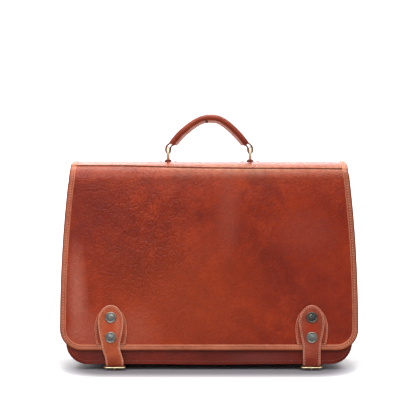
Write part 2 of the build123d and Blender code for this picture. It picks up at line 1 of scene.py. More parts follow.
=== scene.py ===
# A leather satchel with a full flap, two buckled straps and a top handle on rings.
# It stands on z = 0 with its front facing -Y and its left side at -X.
# Shapes are worked out in millimetres and stored in metres by make_object.
# On a panel, v (or q) runs up the leather from the bottom and n stands off its face.
import bmesh
import bpy
import math
import numpy as np
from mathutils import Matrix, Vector


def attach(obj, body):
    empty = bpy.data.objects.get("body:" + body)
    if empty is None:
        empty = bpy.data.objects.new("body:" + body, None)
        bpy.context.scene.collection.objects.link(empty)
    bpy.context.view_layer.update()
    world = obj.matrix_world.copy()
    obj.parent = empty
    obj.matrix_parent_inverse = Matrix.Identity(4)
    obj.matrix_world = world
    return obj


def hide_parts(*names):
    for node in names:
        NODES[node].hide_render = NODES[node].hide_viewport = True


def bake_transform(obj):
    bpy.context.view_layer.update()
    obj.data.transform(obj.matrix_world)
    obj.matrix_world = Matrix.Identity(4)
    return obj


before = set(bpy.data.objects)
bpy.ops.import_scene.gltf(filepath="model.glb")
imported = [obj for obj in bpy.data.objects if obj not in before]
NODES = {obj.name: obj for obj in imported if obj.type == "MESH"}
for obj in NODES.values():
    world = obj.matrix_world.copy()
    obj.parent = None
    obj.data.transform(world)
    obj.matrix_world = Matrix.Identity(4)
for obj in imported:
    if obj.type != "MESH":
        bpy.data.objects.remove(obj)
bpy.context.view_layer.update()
RNG = np.random.default_rng(7)

# ---------------------------------------------------------------- driving sizes (mm)
OFFSET_Y = 4.98                     # the whole bag is moved back by this
BASE_HALF_DEPTH, TOP_HALF_DEPTH = 55.0, 38.0
PANEL_TOP_Z = 284.0
FRONT_BOTTOM_Z = 8.4                # height at which the front panel starts
FRONT_LEAN = math.atan2(BASE_HALF_DEPTH - TOP_HALF_DEPTH, PANEL_TOP_Z - FRONT_BOTTOM_Z)
BACK_LEAN = math.atan2(BASE_HALF_DEPTH - TOP_HALF_DEPTH, PANEL_TOP_Z)
SIN_FRONT, COS_FRONT = math.sin(FRONT_LEAN), math.cos(FRONT_LEAN)
SIN_BACK, COS_BACK = math.sin(BACK_LEAN), math.cos(BACK_LEAN)
FRONT_NORMAL = (0, -COS_FRONT, SIN_FRONT)
CREST_Z, CROWN_R = 292.4, 124.6     # top of the arched crown and its radius
CORNER_R = 30.0                     # lower corners of the flap and the panels
PANEL_BASE_HALF, PANEL_TOP_HALF, PANEL_HEIGHT = 202.0, 189.0, 264.0
FLAP_BASE_HALF, FLAP_TOP_HALF, FLAP_BOTTOM = 209.7, 195.8, 20.0
FLAP_N = 4.2                        # the flap's outer face above the front panel
STRAP_X = {"left": -138.5, "right": 144.5}
BUCKLE_X = {"left": -133.0, "right": 144.5}
SIDES = (("left", -1), ("right", 1))
RING_X, RING_R, RING_Z = 58.7, 8.9, 303.2

# Zones of the flap along q: flat face, straight run to the bend, bend, crease, crown.
Q_FACE, Q_BEND, Q_CREASE, Q_CROWN, Q_END = 250, 262, 278, 281, 365.0


# ---------------------------------------------------------------- small maths
def ease(t):
    """Smooth step from 0 to 1."""
    t = np.clip(t, 0, 1)
    return t * t * (3 - 2 * t)


def after(start, end, count):
    """Even steps from start to end, without start itself."""
    return np.linspace(start, end, count)[1:]


def turn(count):
    """Even angles round a full turn."""
    return np.linspace(0, 2 * math.pi, count, endpoint=False)


def xyz(x, y, z):
    return np.stack(np.broadcast_arrays(x, y, z), -1)


def front_plane(v, n):
    """(y, z) on the leaning front, n in front of it."""
    return (-BASE_HALF_DEPTH + v * SIN_FRONT - n * COS_FRONT,
            FRONT_BOTTOM_Z + v * COS_FRONT + n * SIN_FRONT)


def back_plane(v, n):
    """(y, z) on the leaning back, n behind it."""
    return BASE_HALF_DEPTH - v * SIN_BACK + n * COS_BACK, v * COS_BACK + n * SIN_BACK


def face_at(x, v, n):
    return xyz(x, *front_plane(v, n))


def arc_length(points):
    return np.r_[0, np.cumsum(np.linalg.norm(np.diff(points, axis=0), axis=1))]


def left_normals(path):
    """Unit normals to the left of travel along a flat path."""
    along = np.gradient(path, axis=0)
    along /= np.linalg.norm(along, axis=1)[:, None]
    return np.stack([-along[:, 1], along[:, 0]], 1)


def resample(points, step, closed=False):
    points = np.array(points, float)
    if closed:
        points = np.vstack([points, points[:1]])
    distance = arc_length(points)
    count = max(2, int(round(distance[-1] / step)) + 1)
    at = np.linspace(0, distance[-1], count)
    out = np.stack([np.interp(at, distance, column) for column in points.T], 1)
    return out[:-1] if closed else out


def curve(points, per):
    """Catmull-Rom curve through open points, per steps in each span."""
    p = np.array(points, float)
    p = np.vstack([2 * p[0] - p[1], p, 2 * p[-1] - p[-2]])
    out = []
    for i in range(1, len(p) - 2):
        for t in np.linspace(0, 1, per, endpoint=False):
            out.append(0.5 * (2 * p[i] + (p[i + 1] - p[i - 1]) * t
                              + (2 * p[i - 1] - 5 * p[i] + 4 * p[i + 1] - p[i + 2]) * t * t
                              + (3 * p[i] - p[i - 1] - 3 * p[i + 1] + p[i + 2]) * t ** 3))
    out.append(p[-2])
    return np.array(out)


def mirrored(half, centre_x):
    """Full outline from a half that runs from the middle out to the right edge."""
    return np.vstack([half[::-1], half[1:] * (-1, 1)]) + (centre_x, 0)


# ---------------------------------------------------------------- mesh making
def make_object(name, verts, faces, material=None, uv=None, face_materials=None,
                attributes=None, offset_y=OFFSET_Y):
    """Object from millimetre data; uv and attributes have one entry per vertex."""
    verts = np.array(verts, float).reshape(-1, 3)
    verts[:, 1] += offset_y
    mesh = bpy.data.meshes.new(name)
    mesh.from_pydata((verts * 0.001).tolist(), [], [list(face) for face in faces])
    if uv is not None:
        uv = np.array(uv, float) * 0.001
        layer = mesh.uv_layers.new(name="UVMap")
        corners = np.zeros(len(mesh.loops), np.int32)
        mesh.loops.foreach_get("vertex_index", corners)
        layer.data.foreach_set("uv", uv[corners].ravel())
    for key, values in (attributes or {}).items():
        attribute = mesh.attributes.new(key, "FLOAT", "POINT")
        attribute.data.foreach_set("value", np.array(values, np.float32))
    mesh.validate()
    mesh.polygons.foreach_set("use_smooth", [True] * len(mesh.polygons))
    obj = bpy.data.objects.new(name, mesh)
    bpy.context.scene.collection.objects.link(obj)
    if material is not None:
        for slot_material in material if isinstance(material, list) else [material]:
            mesh.materials.append(slot_material)
    if face_materials is not None:
        mesh.polygons.foreach_set("material_index", face_materials)
    bm = bmesh.new()
    bm.from_mesh(mesh)
    bmesh.ops.remove_doubles(bm, verts=bm.verts, dist=2e-6)
    bmesh.ops.recalc_face_normals(bm, faces=bm.faces)
    bm.to_mesh(mesh)
    bm.free()
    return obj


def register(obj, nodes=(), ride=None, blend=None):
    if nodes:
        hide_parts(*nodes)
    if ride:
        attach(obj, ride)
    if blend:
        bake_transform(obj)


def loft(rings, caps=True, loop=False):
    """Vertices and faces of a skin through closed rings of equal length."""
    rings = np.asarray(rings, float)
    count, size = rings.shape[:2]
    faces = []
    for i in range(count if loop else count - 1):
        a, b = i * size, ((i + 1) % count) * size
        for j in range(size):
            k = (j + 1) % size
            faces.append((a + j, a + k, b + k, b + j))
    if caps and not loop:
        faces.append(tuple(range(size))[::-1])
        faces.append(tuple((count - 1) * size + j for j in range(size)))
    return rings.reshape(-1, 3), faces


def lathe(profile, segments, place):
    """Skin through (radius, height) rings; place(radius, height, angle) gives points."""
    angle = turn(segments)
    return loft([place(radius, height, angle) for radius, height in profile], caps=False)


def combine(parts):
    """One vertex list and face list from several."""
    faces, start = [], 0
    for verts, part_faces in parts:
        faces += [tuple(i + start for i in face) for face in part_faces]
        start += len(verts)
    return np.concatenate([verts for verts, _ in parts]), faces


def merge(name, objects):
    """Joins finished pieces into one object."""
    bpy.ops.object.select_all(action="DESELECT")
    for obj in objects:
        obj.select_set(True)
    bpy.context.view_layer.objects.active = objects[0]
    bpy.ops.object.join()
    objects[0].name = name
    objects[0].data.name = name
    return objects[0]


def tube(name, points, radii, up, sides, material, closed=False, squash=1.0):
    """Round bar along points; squash flattens it along its normal."""
    points = np.array(points, float)
    if closed:
        along = np.roll(points, -1, 0) - np.roll(points, 1, 0)
    else:
        along = np.gradient(points, axis=0)
    along /= np.linalg.norm(along, axis=1)[:, None]
    side = np.cross(along, np.array(up, float))
    side /= np.maximum(np.linalg.norm(side, axis=1)[:, None], 1e-9)
    normal = np.cross(side, along)
    radii = np.broadcast_to(np.array(radii, float), (len(points),))[:, None, None]
    angle = turn(sides)[:, None]
    rings = (points[:, None] + np.cos(angle) * radii * side[:, None]
             + np.sin(angle) * radii * squash * normal[:, None])
    return make_object(name, *loft(rings, loop=closed), material)


STITCH_LIFT = 0.05
STITCH_SLANT, SLANT_SPREAD = 7.0, 2.0       # degrees


def stitches(name, points, normals, material, pitch, length, width=0.42, height=0.42):
    """Sewn threads along a path, each diving into the leather at both ends."""
    points = np.array(points, float)
    normals = np.broadcast_to(np.array(normals, float), points.shape)
    distance = arc_length(points)
    count = max(1, int(distance[-1] / pitch))
    angle = turn(6)

    def at(values, s):
        return np.array([np.interp(s, distance, column) for column in values.T])

    parts = []
    for k in range(count):
        centre = (k + 0.5) * distance[-1] / count
        start, end = at(points, centre - length / 2), at(points, centre + length / 2)
        normal = at(normals, centre)
        normal /= np.linalg.norm(normal)
        along = end - start
        along /= np.linalg.norm(along)
        side = np.cross(normal, along)
        slant = math.radians(STITCH_SLANT + RNG.normal(0, SLANT_SPREAD))
        along = along * math.cos(slant) + side * math.sin(slant)
        side = np.cross(normal, along)
        rings = []
        for u in np.linspace(-1, 1, 7):
            lift = STITCH_LIFT + height * (1 - abs(u) ** 2.6) - height * 0.55
            radius = width * (0.35 + 0.65 * math.sqrt(max(0.0, 1 - u ** 4)))
            rings.append((start + end) / 2 + along * u * length / 2
                         + np.outer(np.cos(angle) * radius, side)
                         + np.outer(lift + np.sin(angle) * radius * 0.9, normal))
        parts.append(loft(rings))
    return make_object(name, *combine(parts), material)


# ---------------------------------------------------------------- shader tools
def linear(colour):
    """Linear colour from sRGB values of 0 to 255."""
    def channel(u):
        u /= 255.0
        return u / 12.92 if u <= 0.04045 else ((u + 0.055) / 1.055) ** 2.4
    return tuple(channel(u) for u in colour)


class Shader:
    """Adds and links nodes in one tree; every method returns an output socket."""

    def __init__(self, tree):
        self.tree = tree
        tree.nodes.clear()

    def node(self, kind, **settings):
        node = self.tree.nodes.new(kind)
        for key, value in settings.items():
            setattr(node, key, value)
        return node

    def put(self, socket, value):
        if isinstance(value, bpy.types.NodeSocket):
            self.tree.links.new(value, socket)
        else:
            socket.default_value = value

    def mapping(self, vector, scale, rotation=(0, 0, 0), location=(0, 0, 0)):
        node = self.node("ShaderNodeMapping")
        self.put(node.inputs["Scale"], scale)
        self.put(node.inputs["Rotation"], rotation)
        self.put(node.inputs["Location"], location)
        self.put(node.inputs["Vector"], vector)
        return node.outputs[0]

    def coords(self, kind, scale, location=(0, 0, 0)):
        source = self.node("ShaderNodeTexCoord").outputs[kind]
        return self.mapping(source, scale, location=location)

    def millimetres(self, kind):
        return self.coords(kind, (1000.0,) * 3)

    def vector_math(self, operation, first, second=None):
        node = self.node("ShaderNodeVectorMath", operation=operation)
        self.put(node.inputs[0], first)
        if second is not None:
            self.put(node.inputs["Scale" if operation == "SCALE" else 1], second)
        return node.outputs["Value" if operation == "LENGTH" else "Vector"]

    def ellipse(self, kind, x, v, radius_x, radius_v):
        """Distance from (x, v) in mm, 1 on the ellipse of the given radii."""
        place = self.coords(kind, (1000.0 / radius_x, 1000.0 / radius_v, 0.0),
                            location=(-x / radius_x, -v / radius_v, 0))
        return self.vector_math("LENGTH", place)

    def noise(self, vector, scale, detail=4.0, rough=0.55, distort=0.0, output="Fac"):
        node = self.node("ShaderNodeTexNoise")
        self.put(node.inputs["Vector"], vector)
        node.inputs["Scale"].default_value = scale
        node.inputs["Detail"].default_value = detail
        node.inputs["Roughness"].default_value = rough
        node.inputs["Distortion"].default_value = distort
        return node.outputs[output]

    def voronoi(self, vector, scale, feature="F1", smoothness=None):
        node = self.node("ShaderNodeTexVoronoi", feature=feature)
        self.put(node.inputs["Vector"], vector)
        node.inputs["Scale"].default_value = scale
        if smoothness is not None:
            node.inputs["Smoothness"].default_value = smoothness
        return node.outputs["Distance"]

    def math(self, operation, a, b=0.0, clamp=False):
        node = self.node("ShaderNodeMath", operation=operation, use_clamp=clamp)
        self.put(node.inputs[0], a)
        self.put(node.inputs[1], b)
        return node.outputs[0]

    def add(self, a, b):
        return self.math("ADD", a, b)

    def sub(self, a, b):
        return self.math("SUBTRACT", a, b)

    def mul(self, a, b, clamp=False):
        return self.math("MULTIPLY", a, b, clamp)

    def ramp(self, value, stops):
        node = self.node("ShaderNodeValToRGB")
        elements = node.color_ramp.elements
        while len(elements) < len(stops):
            elements.new(0.5)
        for element, (position, colour) in zip(elements, stops):
            element.position = position
            element.color = (*colour, 1.0)
        self.put(node.inputs[0], value)
        return node.outputs[0]

    def grey_ramp(self, value, stops):
        return self.ramp(value, [(position, (grey,) * 3) for position, grey in stops])

    def remap(self, value, span, to):
        """Clamped change of range, from span to to."""
        node = self.node("ShaderNodeMapRange")
        self.put(node.inputs[0], value)
        for socket, number in zip(node.inputs[1:5], (*span, *to)):
            socket.default_value = number
        return node.outputs[0]

    def mix(self, factor, a, b):
        node = self.node("ShaderNodeMix", data_type="RGBA", blend_type="MIX")
        self.put(node.inputs[0], factor)
        for socket, colour in ((node.inputs[6], a), (node.inputs[7], b)):
            self.put(socket, (*colour, 1.0) if isinstance(colour, tuple) else colour)
        return node.outputs[2]

    def attribute(self, name):
        return self.node("ShaderNodeAttribute", attribute_name=name).outputs["Fac"]

    def bump(self, height, strength, distance, normal=None):
        node = self.node("ShaderNodeBump")
        node.inputs["Strength"].default_value = strength
        node.inputs["Distance"].default_value = distance
        self.put(node.inputs["Height"], height)
        if normal is not None:
            self.put(node.inputs["Normal"], normal)
        return node.outputs[0]


def new_material(name):
    material = bpy.data.materials.new(name)
    material.use_nodes = True
    g = Shader(material.node_tree)
    output = g.node("ShaderNodeOutputMaterial")
    bsdf = g.node("ShaderNodeBsdfPrincipled")
    g.put(output.inputs[0], bsdf.outputs[0])
    return material, g, bsdf.inputs


# ---------------------------------------------------------------- kinds of material
def leather(name, dark, middle, light, coords="UV", rough=0.36, grain=0.5, wrinkle=0.3,
            coat=0.25, coat_rough=0.22, spots=(), edge=None, mottle=1.0, spec=0.25,
            relief=0.0006, folds=(), crease_area=None):
    """Glazed leather: blotchy dye, pebbled grain, fine creases, paler edges from wear and
    painted sheen, darkening from burnish and painted shade.

    spots: areas of another colour (x, v, radius x, radius v, colour, weight) in mm; some are
    dye, some painted sheen or painted shade.
    folds: patches of folds (x, v, radius x, radius v, lines per mm across, along, depth in m).
    crease_area: (x, v, radius x, radius v) where the relief is strongest.
    """
    material, g, inputs = new_material(name)
    dark, middle, light = linear(dark), linear(middle), linear(light)
    mm = g.millimetres(coords)

    # blotches of dye at three sizes
    big = g.noise(mm, scale=0.011, detail=5.0, rough=0.55, distort=0.4)
    medium = g.noise(mm, scale=0.055, detail=5.0, rough=0.6, distort=0.3)
    fine = g.noise(mm, scale=0.42, detail=4.0, rough=0.62)
    blotch = g.add(g.add(g.mul(big, 0.50), g.mul(medium, 0.30)), g.mul(fine, 0.20))
    contrast = 0.13 / mottle
    blotch = g.remap(blotch, span=(0.5 - contrast, 0.5 + contrast), to=(0.0, 1.0))
    colour = g.ramp(blotch, [(0.0, dark), (0.5, middle), (1.0, light)])
    for *ellipse, spot_colour, weight in spots:
        ragged = g.mul(g.sub(medium, 0.5), 0.9)
        distance = g.add(g.ellipse(coords, *ellipse), ragged)
        fade = g.remap(distance, span=(0.25, 1.0), to=(weight, 0.0))
        colour = g.mix(fade, colour, linear(spot_colour))

    # hollows between the pebbles are darker, edges paler from wear and painted sheen; the dark
    # attribute darkens and dulls burnished edges and paints shade into creases, channels and
    # rims
    pebbles = g.voronoi(mm, scale=0.36, feature="SMOOTH_F1", smoothness=0.5)
    pores = g.voronoi(mm, scale=0.95)
    colour = g.mix(g.remap(pebbles, span=(0.25, 0.75), to=(0.0, 0.22)), colour, dark)
    if edge:
        patchy = g.remap(g.noise(mm, scale=0.12), span=(0.3, 0.65), to=(0.45, 1.0))
        colour = g.mix(g.mul(g.attribute("wear_and_sheen"), patchy, clamp=True), colour, linear(edge))
    burnish_and_shade = g.mul(g.attribute("dark"), 0.9)
    colour = g.mix(burnish_and_shade, colour, tuple(0.42 * c for c in dark))
    gloss = g.sub(1.0, burnish_and_shade)
    g.put(inputs["Coat Weight"], g.mul(gloss, coat))
    g.put(inputs["Specular IOR Level"], g.mul(gloss, spec))
    g.put(inputs["Base Color"], colour)
    g.put(inputs["Roughness"], g.remap(g.noise(mm, scale=0.09), span=(0.3, 0.7),
                                       to=(rough - 0.07, rough + 0.10)))
    g.put(inputs["Coat Roughness"], coat_rough)

    # pebble and pore relief
    area = g.remap(g.noise(mm, scale=0.018, detail=3.0), span=(0.42, 0.62), to=(0.35, 1.0))
    lumps = 0.8
    if crease_area:
        ragged = g.mul(g.sub(g.noise(mm, scale=0.02, detail=3.0), 0.5), 1.1)
        away = g.add(g.ellipse(coords, *crease_area), ragged)
        area = g.mul(area, g.remap(away, span=(0.6, 1.8), to=(1.0, 0.5)))
        lumps = g.remap(away, span=(0.6, 1.8), to=(0.85, 0.42))
    height = g.add(g.mul(g.mul(pebbles, -1.0), area), g.mul(pores, -0.18))
    height = g.add(height, g.mul(g.noise(mm, scale=0.2, detail=5.0, rough=0.6), lumps))
    grain_normal = g.bump(height, strength=grain, distance=relief)

    # a warped net of stretched creases, stronger in some areas than in others
    drift = g.noise(mm, scale=0.045, detail=3.0, rough=0.5, output="Color")
    warped = g.vector_math("ADD", mm, g.vector_math("SCALE", drift, 16.0))
    stretched = g.mapping(warped, scale=(1.0, 0.62, 1.0), rotation=(0, 0, 0.35))
    net = g.voronoi(stretched, scale=0.20, feature="DISTANCE_TO_EDGE")
    net = g.remap(net, span=(0.0, 0.16), to=(-1.0, 0.0))
    if crease_area:
        strength = g.remap(away, span=(0.45, 1.3), to=(1.0, 0.06))
    else:
        strength = g.remap(g.noise(mm, scale=0.014, detail=3.0),
                           span=(0.47, 0.60), to=(0.12, 1.0))
    normal = g.bump(g.mul(net, strength), strength=wrinkle,
                    distance=0.0008 if crease_area else 0.0005, normal=grain_normal)
    for *ellipse, across, along, depth in folds:
        fade = g.remap(g.ellipse(coords, *ellipse), span=(0.35, 1.0), to=(1.0, 0.0))
        lines = g.noise(g.coords(coords, (1000.0 * across, 1000.0 * along, 1.0)),
                        scale=1.0, detail=2.0, rough=0.45, distort=0.8)
        ridges = g.mul(g.math("ABSOLUTE", g.sub(lines, 0.5)), fade)
        normal = g.bump(ridges, strength=1.0, distance=depth, normal=normal)
    g.put(inputs["Normal"], normal)
    g.put(inputs["Coat Normal"], grain_normal)
    return material


def metal(name, base, tint, rough, dirt=None, metallic=1.0):
    """Brushed metal; dirt colours the places where the pit attribute is high."""
    material, g, inputs = new_material(name)
    mm = g.millimetres("Object")
    cloud = g.noise(mm, scale=0.35, detail=5.0, rough=0.6)
    colour = g.mix(g.remap(cloud, span=(0.35, 0.65), to=(0.0, 1.0)), linear(base), linear(tint))
    if dirt:
        patchy = g.remap(g.noise(mm, scale=0.34), span=(0.38, 0.6), to=(0.15, 1.0))
        dirty = g.mul(g.attribute("pit"), patchy, clamp=True)
        colour = g.mix(dirty, colour, linear(dirt))
        g.put(inputs["Roughness"], g.remap(dirty, span=(0.0, 1.0),
                                           to=(rough, min(1.0, rough + 0.32))))
        g.put(inputs["Metallic"], g.remap(dirty, span=(0.0, 1.0), to=(1.0, 0.35)))
    else:
        g.put(inputs["Roughness"], g.remap(cloud, span=(0.3, 0.7),
                                           to=(rough * 0.8, rough * 1.3)))
        g.put(inputs["Metallic"], metallic)
    g.put(inputs["Base Color"], colour)
    g.put(inputs["Normal"], g.bump(g.noise(mm, scale=2.2), strength=0.12, distance=0.0001))
    return material


def fabric(name, dark, light, coords="Object", scale=1.0):
    """Plain weave, used for cloth, thread and board."""
    material, g, inputs = new_material(name)
    mm = g.millimetres(coords)
    bands = []
    for direction in "XY":
        wave = g.node("ShaderNodeTexWave", wave_type="BANDS", bands_direction=direction)
        g.put(wave.inputs["Vector"], mm)
        wave.inputs["Scale"].default_value = 0.55 * scale
        wave.inputs["Distortion"].default_value = 1.2
        wave.inputs["Detail"].default_value = 2.0
        wave.inputs["Detail Scale"].default_value = 2.0
        bands.append(wave.outputs["Fac"])
    weave = g.mul(*bands)
    shade = g.add(g.mul(weave, 0.5), g.mul(g.noise(mm, scale=0.05), 0.6))
    g.put(inputs["Base Color"], g.mix(shade, linear(dark), linear(light)))
    g.put(inputs["Roughness"], 0.85)
    g.put(inputs["Sheen Weight"], 0.3)
    g.put(inputs["Normal"], g.bump(weave, strength=0.5, distance=0.0003))
    return material


# ---------------------------------------------------------------- materials (sRGB colours)
# The flap's spots: more orange low left of the middle, darker on the right and at the top left,
# paler pinkish patches at x 27 and 135; the pale pink band at x -186 and the pale pink patches
# at x -108 and -170 are painted sheen.
FLAP = leather(
    "flap_leather", (120, 30, 10), (157, 46, 12), (186, 62, 16), rough=0.36, grain=1.0,
    wrinkle=0.9, coat=0.3, coat_rough=0.16, relief=0.0007, mottle=1.05,
    folds=[(-172, 250, 46, 30, 0.030, 0.12, 0.0027), (-70, 205, 70, 60, 0.09, 0.045, 0.0035),
           (120, 215, 90, 50, 0.012, 0.05, 0.0005)],
    crease_area=(-100, 180, 80, 95),
    spots=[(-45, 90, 150, 110, (178, 66, 18), 0.5), (160, 150, 90, 200, (142, 40, 18), 0.5),
           (27, 215, 20, 75, (176, 82, 60), 0.35), (135, 185, 55, 40, (164, 72, 56), 0.35),
           (-150, 225, 80, 60, (128, 34, 16), 0.5), (-186, 92, 16, 95, (204, 118, 96), 0.6),
           (-108, 46, 46, 46, (192, 92, 66), 0.5), (-170, 42, 34, 44, (196, 98, 76), 0.5)],
    edge=(222, 160, 122))
# The body's pale mauve spot low at x 70 is a painted sheen; the spot at x -160 makes the lower
# left corner a little darker.
BODY = leather(
    "body_leather", (96, 25, 14), (122, 34, 19), (142, 44, 24), rough=0.42,
    spots=[(70, 9, 62, 11, (140, 66, 60), 0.5), (-160, 12, 30, 14, (112, 34, 24), 0.5)])
# The binding's first spot darkens its whole right side: painted shade; the second makes it
# redder at the top of the left side.
BINDING = leather(
    "binding_leather", (164, 74, 44), (190, 92, 58), (208, 114, 78), rough=0.45, grain=0.35,
    wrinkle=0.12, edge=(222, 152, 118), mottle=1.4, coat=0.12,
    spots=[(300, 880, 900, 230, (150, 62, 36), 0.75), (300, 110, 900, 70, (186, 74, 54), 0.5)])
# Strap spots: saturated between the studs and darker round them; the spots at s 6 darken the
# straps where they turn under the bag, a painted shade; the left strap also has a pale streak on
# the right half of its tab.
STRAP_LEATHER = {
    "left": leather(
        "strap_leather", (168, 68, 34), (196, 92, 52), (216, 118, 76), rough=0.42, grain=0.4,
        wrinkle=0.25, edge=(240, 168, 136), mottle=1.3, coat=0.18,
        spots=[(-1108, 52, 15, 10, (204, 78, 34), 0.7), (-1109, 67, 13, 11, (150, 70, 46), 0.45),
               (-1107, 38, 12, 10, (156, 72, 46), 0.4), (-1103, 6, 16, 10, (140, 46, 20), 0.75),
               (-1098, 58, 7, 30, (222, 126, 96), 0.5)]),
    "right": leather(
        "strap_leather_dark", (140, 54, 32), (164, 72, 48), (186, 92, 66), rough=0.42,
        grain=0.4, wrinkle=0.25, edge=(226, 142, 116), mottle=1.3, coat=0.18,
        spots=[(1156, 52, 15, 11, (178, 48, 14), 0.85), (1156, 67, 12, 10, (118, 52, 40), 0.5),
               (1156, 38, 12, 9, (150, 66, 46), 0.3), (1156, 6, 15, 7, (132, 34, 22), 0.8)])}
PATCH = leather("patch_leather", (140, 48, 24), (164, 62, 32), (186, 82, 46), rough=0.42,
                grain=0.4, wrinkle=0.15, edge=(222, 132, 102), mottle=1.2, coat=0.2)
# The grip's pale edge colour, laid on the welt, is a painted sheen.
GRIP = leather("handle_leather", (116, 40, 22), (154, 62, 36), (178, 84, 52), rough=0.32,
               grain=0.3, coat=0.35, edge=(212, 158, 146))
HANDLE_LOOP = leather("handle_leather_object", (96, 38, 22), (126, 54, 30), (150, 72, 44),
                      coords="Object", rough=0.4, grain=0.3)
ANCHOR = leather("loop_leather", (78, 30, 18), (104, 42, 24), (128, 58, 36),
                 coords="Object", rough=0.7, grain=0.3, coat=0.0, spec=0.15)
CHAPE = leather("chape_leather", (100, 38, 24), (128, 52, 32), (150, 66, 40),
                coords="Object", rough=0.5, grain=0.3)
THREAD = fabric("thread", (212, 144, 114), (236, 182, 152), scale=3.0)
THREAD_DARK = fabric("thread_dark", (132, 64, 40), (160, 84, 52), scale=3.0)
THREAD_RED = fabric("thread_red", (150, 62, 40), (178, 84, 58), scale=3.0)
LINING = fabric("lining_cloth", (96, 70, 48), (128, 98, 70), coords="UV")
FLESH = leather("flesh_side", (150, 104, 72), (168, 120, 84), (182, 136, 98), rough=0.75,
                grain=0.6, wrinkle=0.05, coat=0.0)
BRASS = metal("brass", (252, 236, 198), (240, 214, 160), rough=0.34)
BRONZE = metal("stud_bronze", (206, 194, 184), (150, 136, 124), rough=0.34,
               dirt=(74, 112, 116))
BRONZE_DARK = metal("stud_bronze_dark", (150, 140, 128), (96, 86, 78), rough=0.30,
                    dirt=(34, 58, 66))
# Painted highlight: half metallic and near white, so the rings show pale beige under any light,
# standing in for the bright reflections they show.
RING_BRASS = metal("ring_brass", (250, 238, 206), (232, 210, 164), rough=0.30, metallic=0.4)
RIVET = metal("rivet_metal", (150, 120, 84), (120, 92, 62), rough=0.35)
BOARD = fabric("board", (58, 46, 36), (78, 62, 48), scale=0.7)
# Black, matt leather for the disc that stands for the awl hole: painted shade.
AWL_HOLE_SHADE = leather("awl_hole_painted_shade", (4, 2, 2), (6, 3, 3), (9, 5, 4), coords="Object", rough=0.9,
                   coat=0.0, spec=0.0)


# ---------------------------------------------------------------- outlines
def half_width(q, base_half, top_half, bottom, top):
    """Half-width of a sheet with rounded lower corners and bowed sides."""
    q = np.asarray(q, float)
    corner_top = bottom + CORNER_R
    t = np.clip((q - corner_top) / (top - corner_top), 0, 1.35)
    side = base_half - (base_half - top_half) * t * t
    a = np.clip((corner_top - q) / CORNER_R, 0, 1)
    corner = base_half - CORNER_R + CORNER_R * np.sqrt(np.maximum(0, 1 - a * a))
    return np.where(q < corner_top, corner, side)


def flap_width(q):
    return half_width(np.minimum(q, 276.0), FLAP_BASE_HALF, FLAP_TOP_HALF, FLAP_BOTTOM, 273.4)


def panel_width(v):
    return half_width(v, PANEL_BASE_HALF, PANEL_TOP_HALF, 0.0, PANEL_HEIGHT)


def corner_rows(bottom):
    """Rows through the rounded lower corners, with one close to the edge."""
    rise = [CORNER_R * (1 - math.cos(math.pi / 2 * i / 9)) for i in range(1, 10)]
    return np.r_[bottom, bottom + 0.15, bottom + np.array(rise)]


def edge_path(side_rows, width_at, base_half, bottom, inset):
    """(x, v) down the left side, along the bottom and up the right, inset from the edge."""
    side = np.stack([inset - width_at(side_rows), side_rows], 1)
    centre_x, radius = CORNER_R - base_half, CORNER_R - inset
    angle = np.radians(after(180, 270, 16))
    corner = np.stack([centre_x + radius * np.cos(angle),
                       bottom + CORNER_R + radius * np.sin(angle)], 1)
    base_x = np.linspace(centre_x, -centre_x, 70)[1:-1]
    base = np.stack([base_x, np.full(len(base_x), bottom + inset)], 1)
    left = np.vstack([side, corner])
    return np.vstack([left, base, left[::-1] * (-1, 1)])


def flap_edge_path(inset, rear_q):
    corner_top = FLAP_BOTTOM + CORNER_R
    rows = np.r_[np.arange(rear_q, Q_CROWN, -2.0), np.arange(Q_CROWN, Q_BEND, -0.5),
                 np.arange(Q_BEND, corner_top, -4.0), corner_top]
    return edge_path(rows, flap_width, FLAP_BASE_HALF, FLAP_BOTTOM, inset)


def panel_edge_path(inset, top):
    rows = np.r_[np.arange(top, CORNER_R, -4.0), CORNER_R]
    return edge_path(rows, panel_width, PANEL_BASE_HALF, 0.0, inset)


# ---------------------------------------------------------------- the flap's outer surface
# The profile is worked out at each x of GRID_X and kept as a table over (x, q).
GRID_X = np.linspace(-230, 230, 93)
GRID_Q = np.unique(np.r_[np.linspace(0, Q_FACE, 51), np.linspace(Q_FACE, Q_BEND, 7),
                         np.linspace(Q_BEND, Q_CREASE, 21), np.linspace(Q_CREASE, Q_CROWN, 13),
                         np.linspace(Q_CROWN, Q_END, 40)])
BEND_R = 26.0
CREASE_BEFORE, CREASE_AFTER = 1.5, 1.3      # the crease's extent in front of and behind its line
CREASE_DEPTH = 1.35

# where the pressed crease runs on the crown: x, and y there
CREASE_X = [-200, -120, -95, -60, -10, 60, 140, 175, 200]
CREASE_Y = [-29.5, -30.0, -31.6, -33.6, -35.6, -36.8, -37.2, -37.8, -38.2]


def crown_z(y):
    """Top of the flap: an arch that falls away faster towards the front crease."""
    arch = CREST_Z - CROWN_R + np.sqrt(CROWN_R ** 2 - y ** 2)
    return arch - 0.011 * np.maximum(0.0, -np.asarray(y, float) - 24.0) ** 2


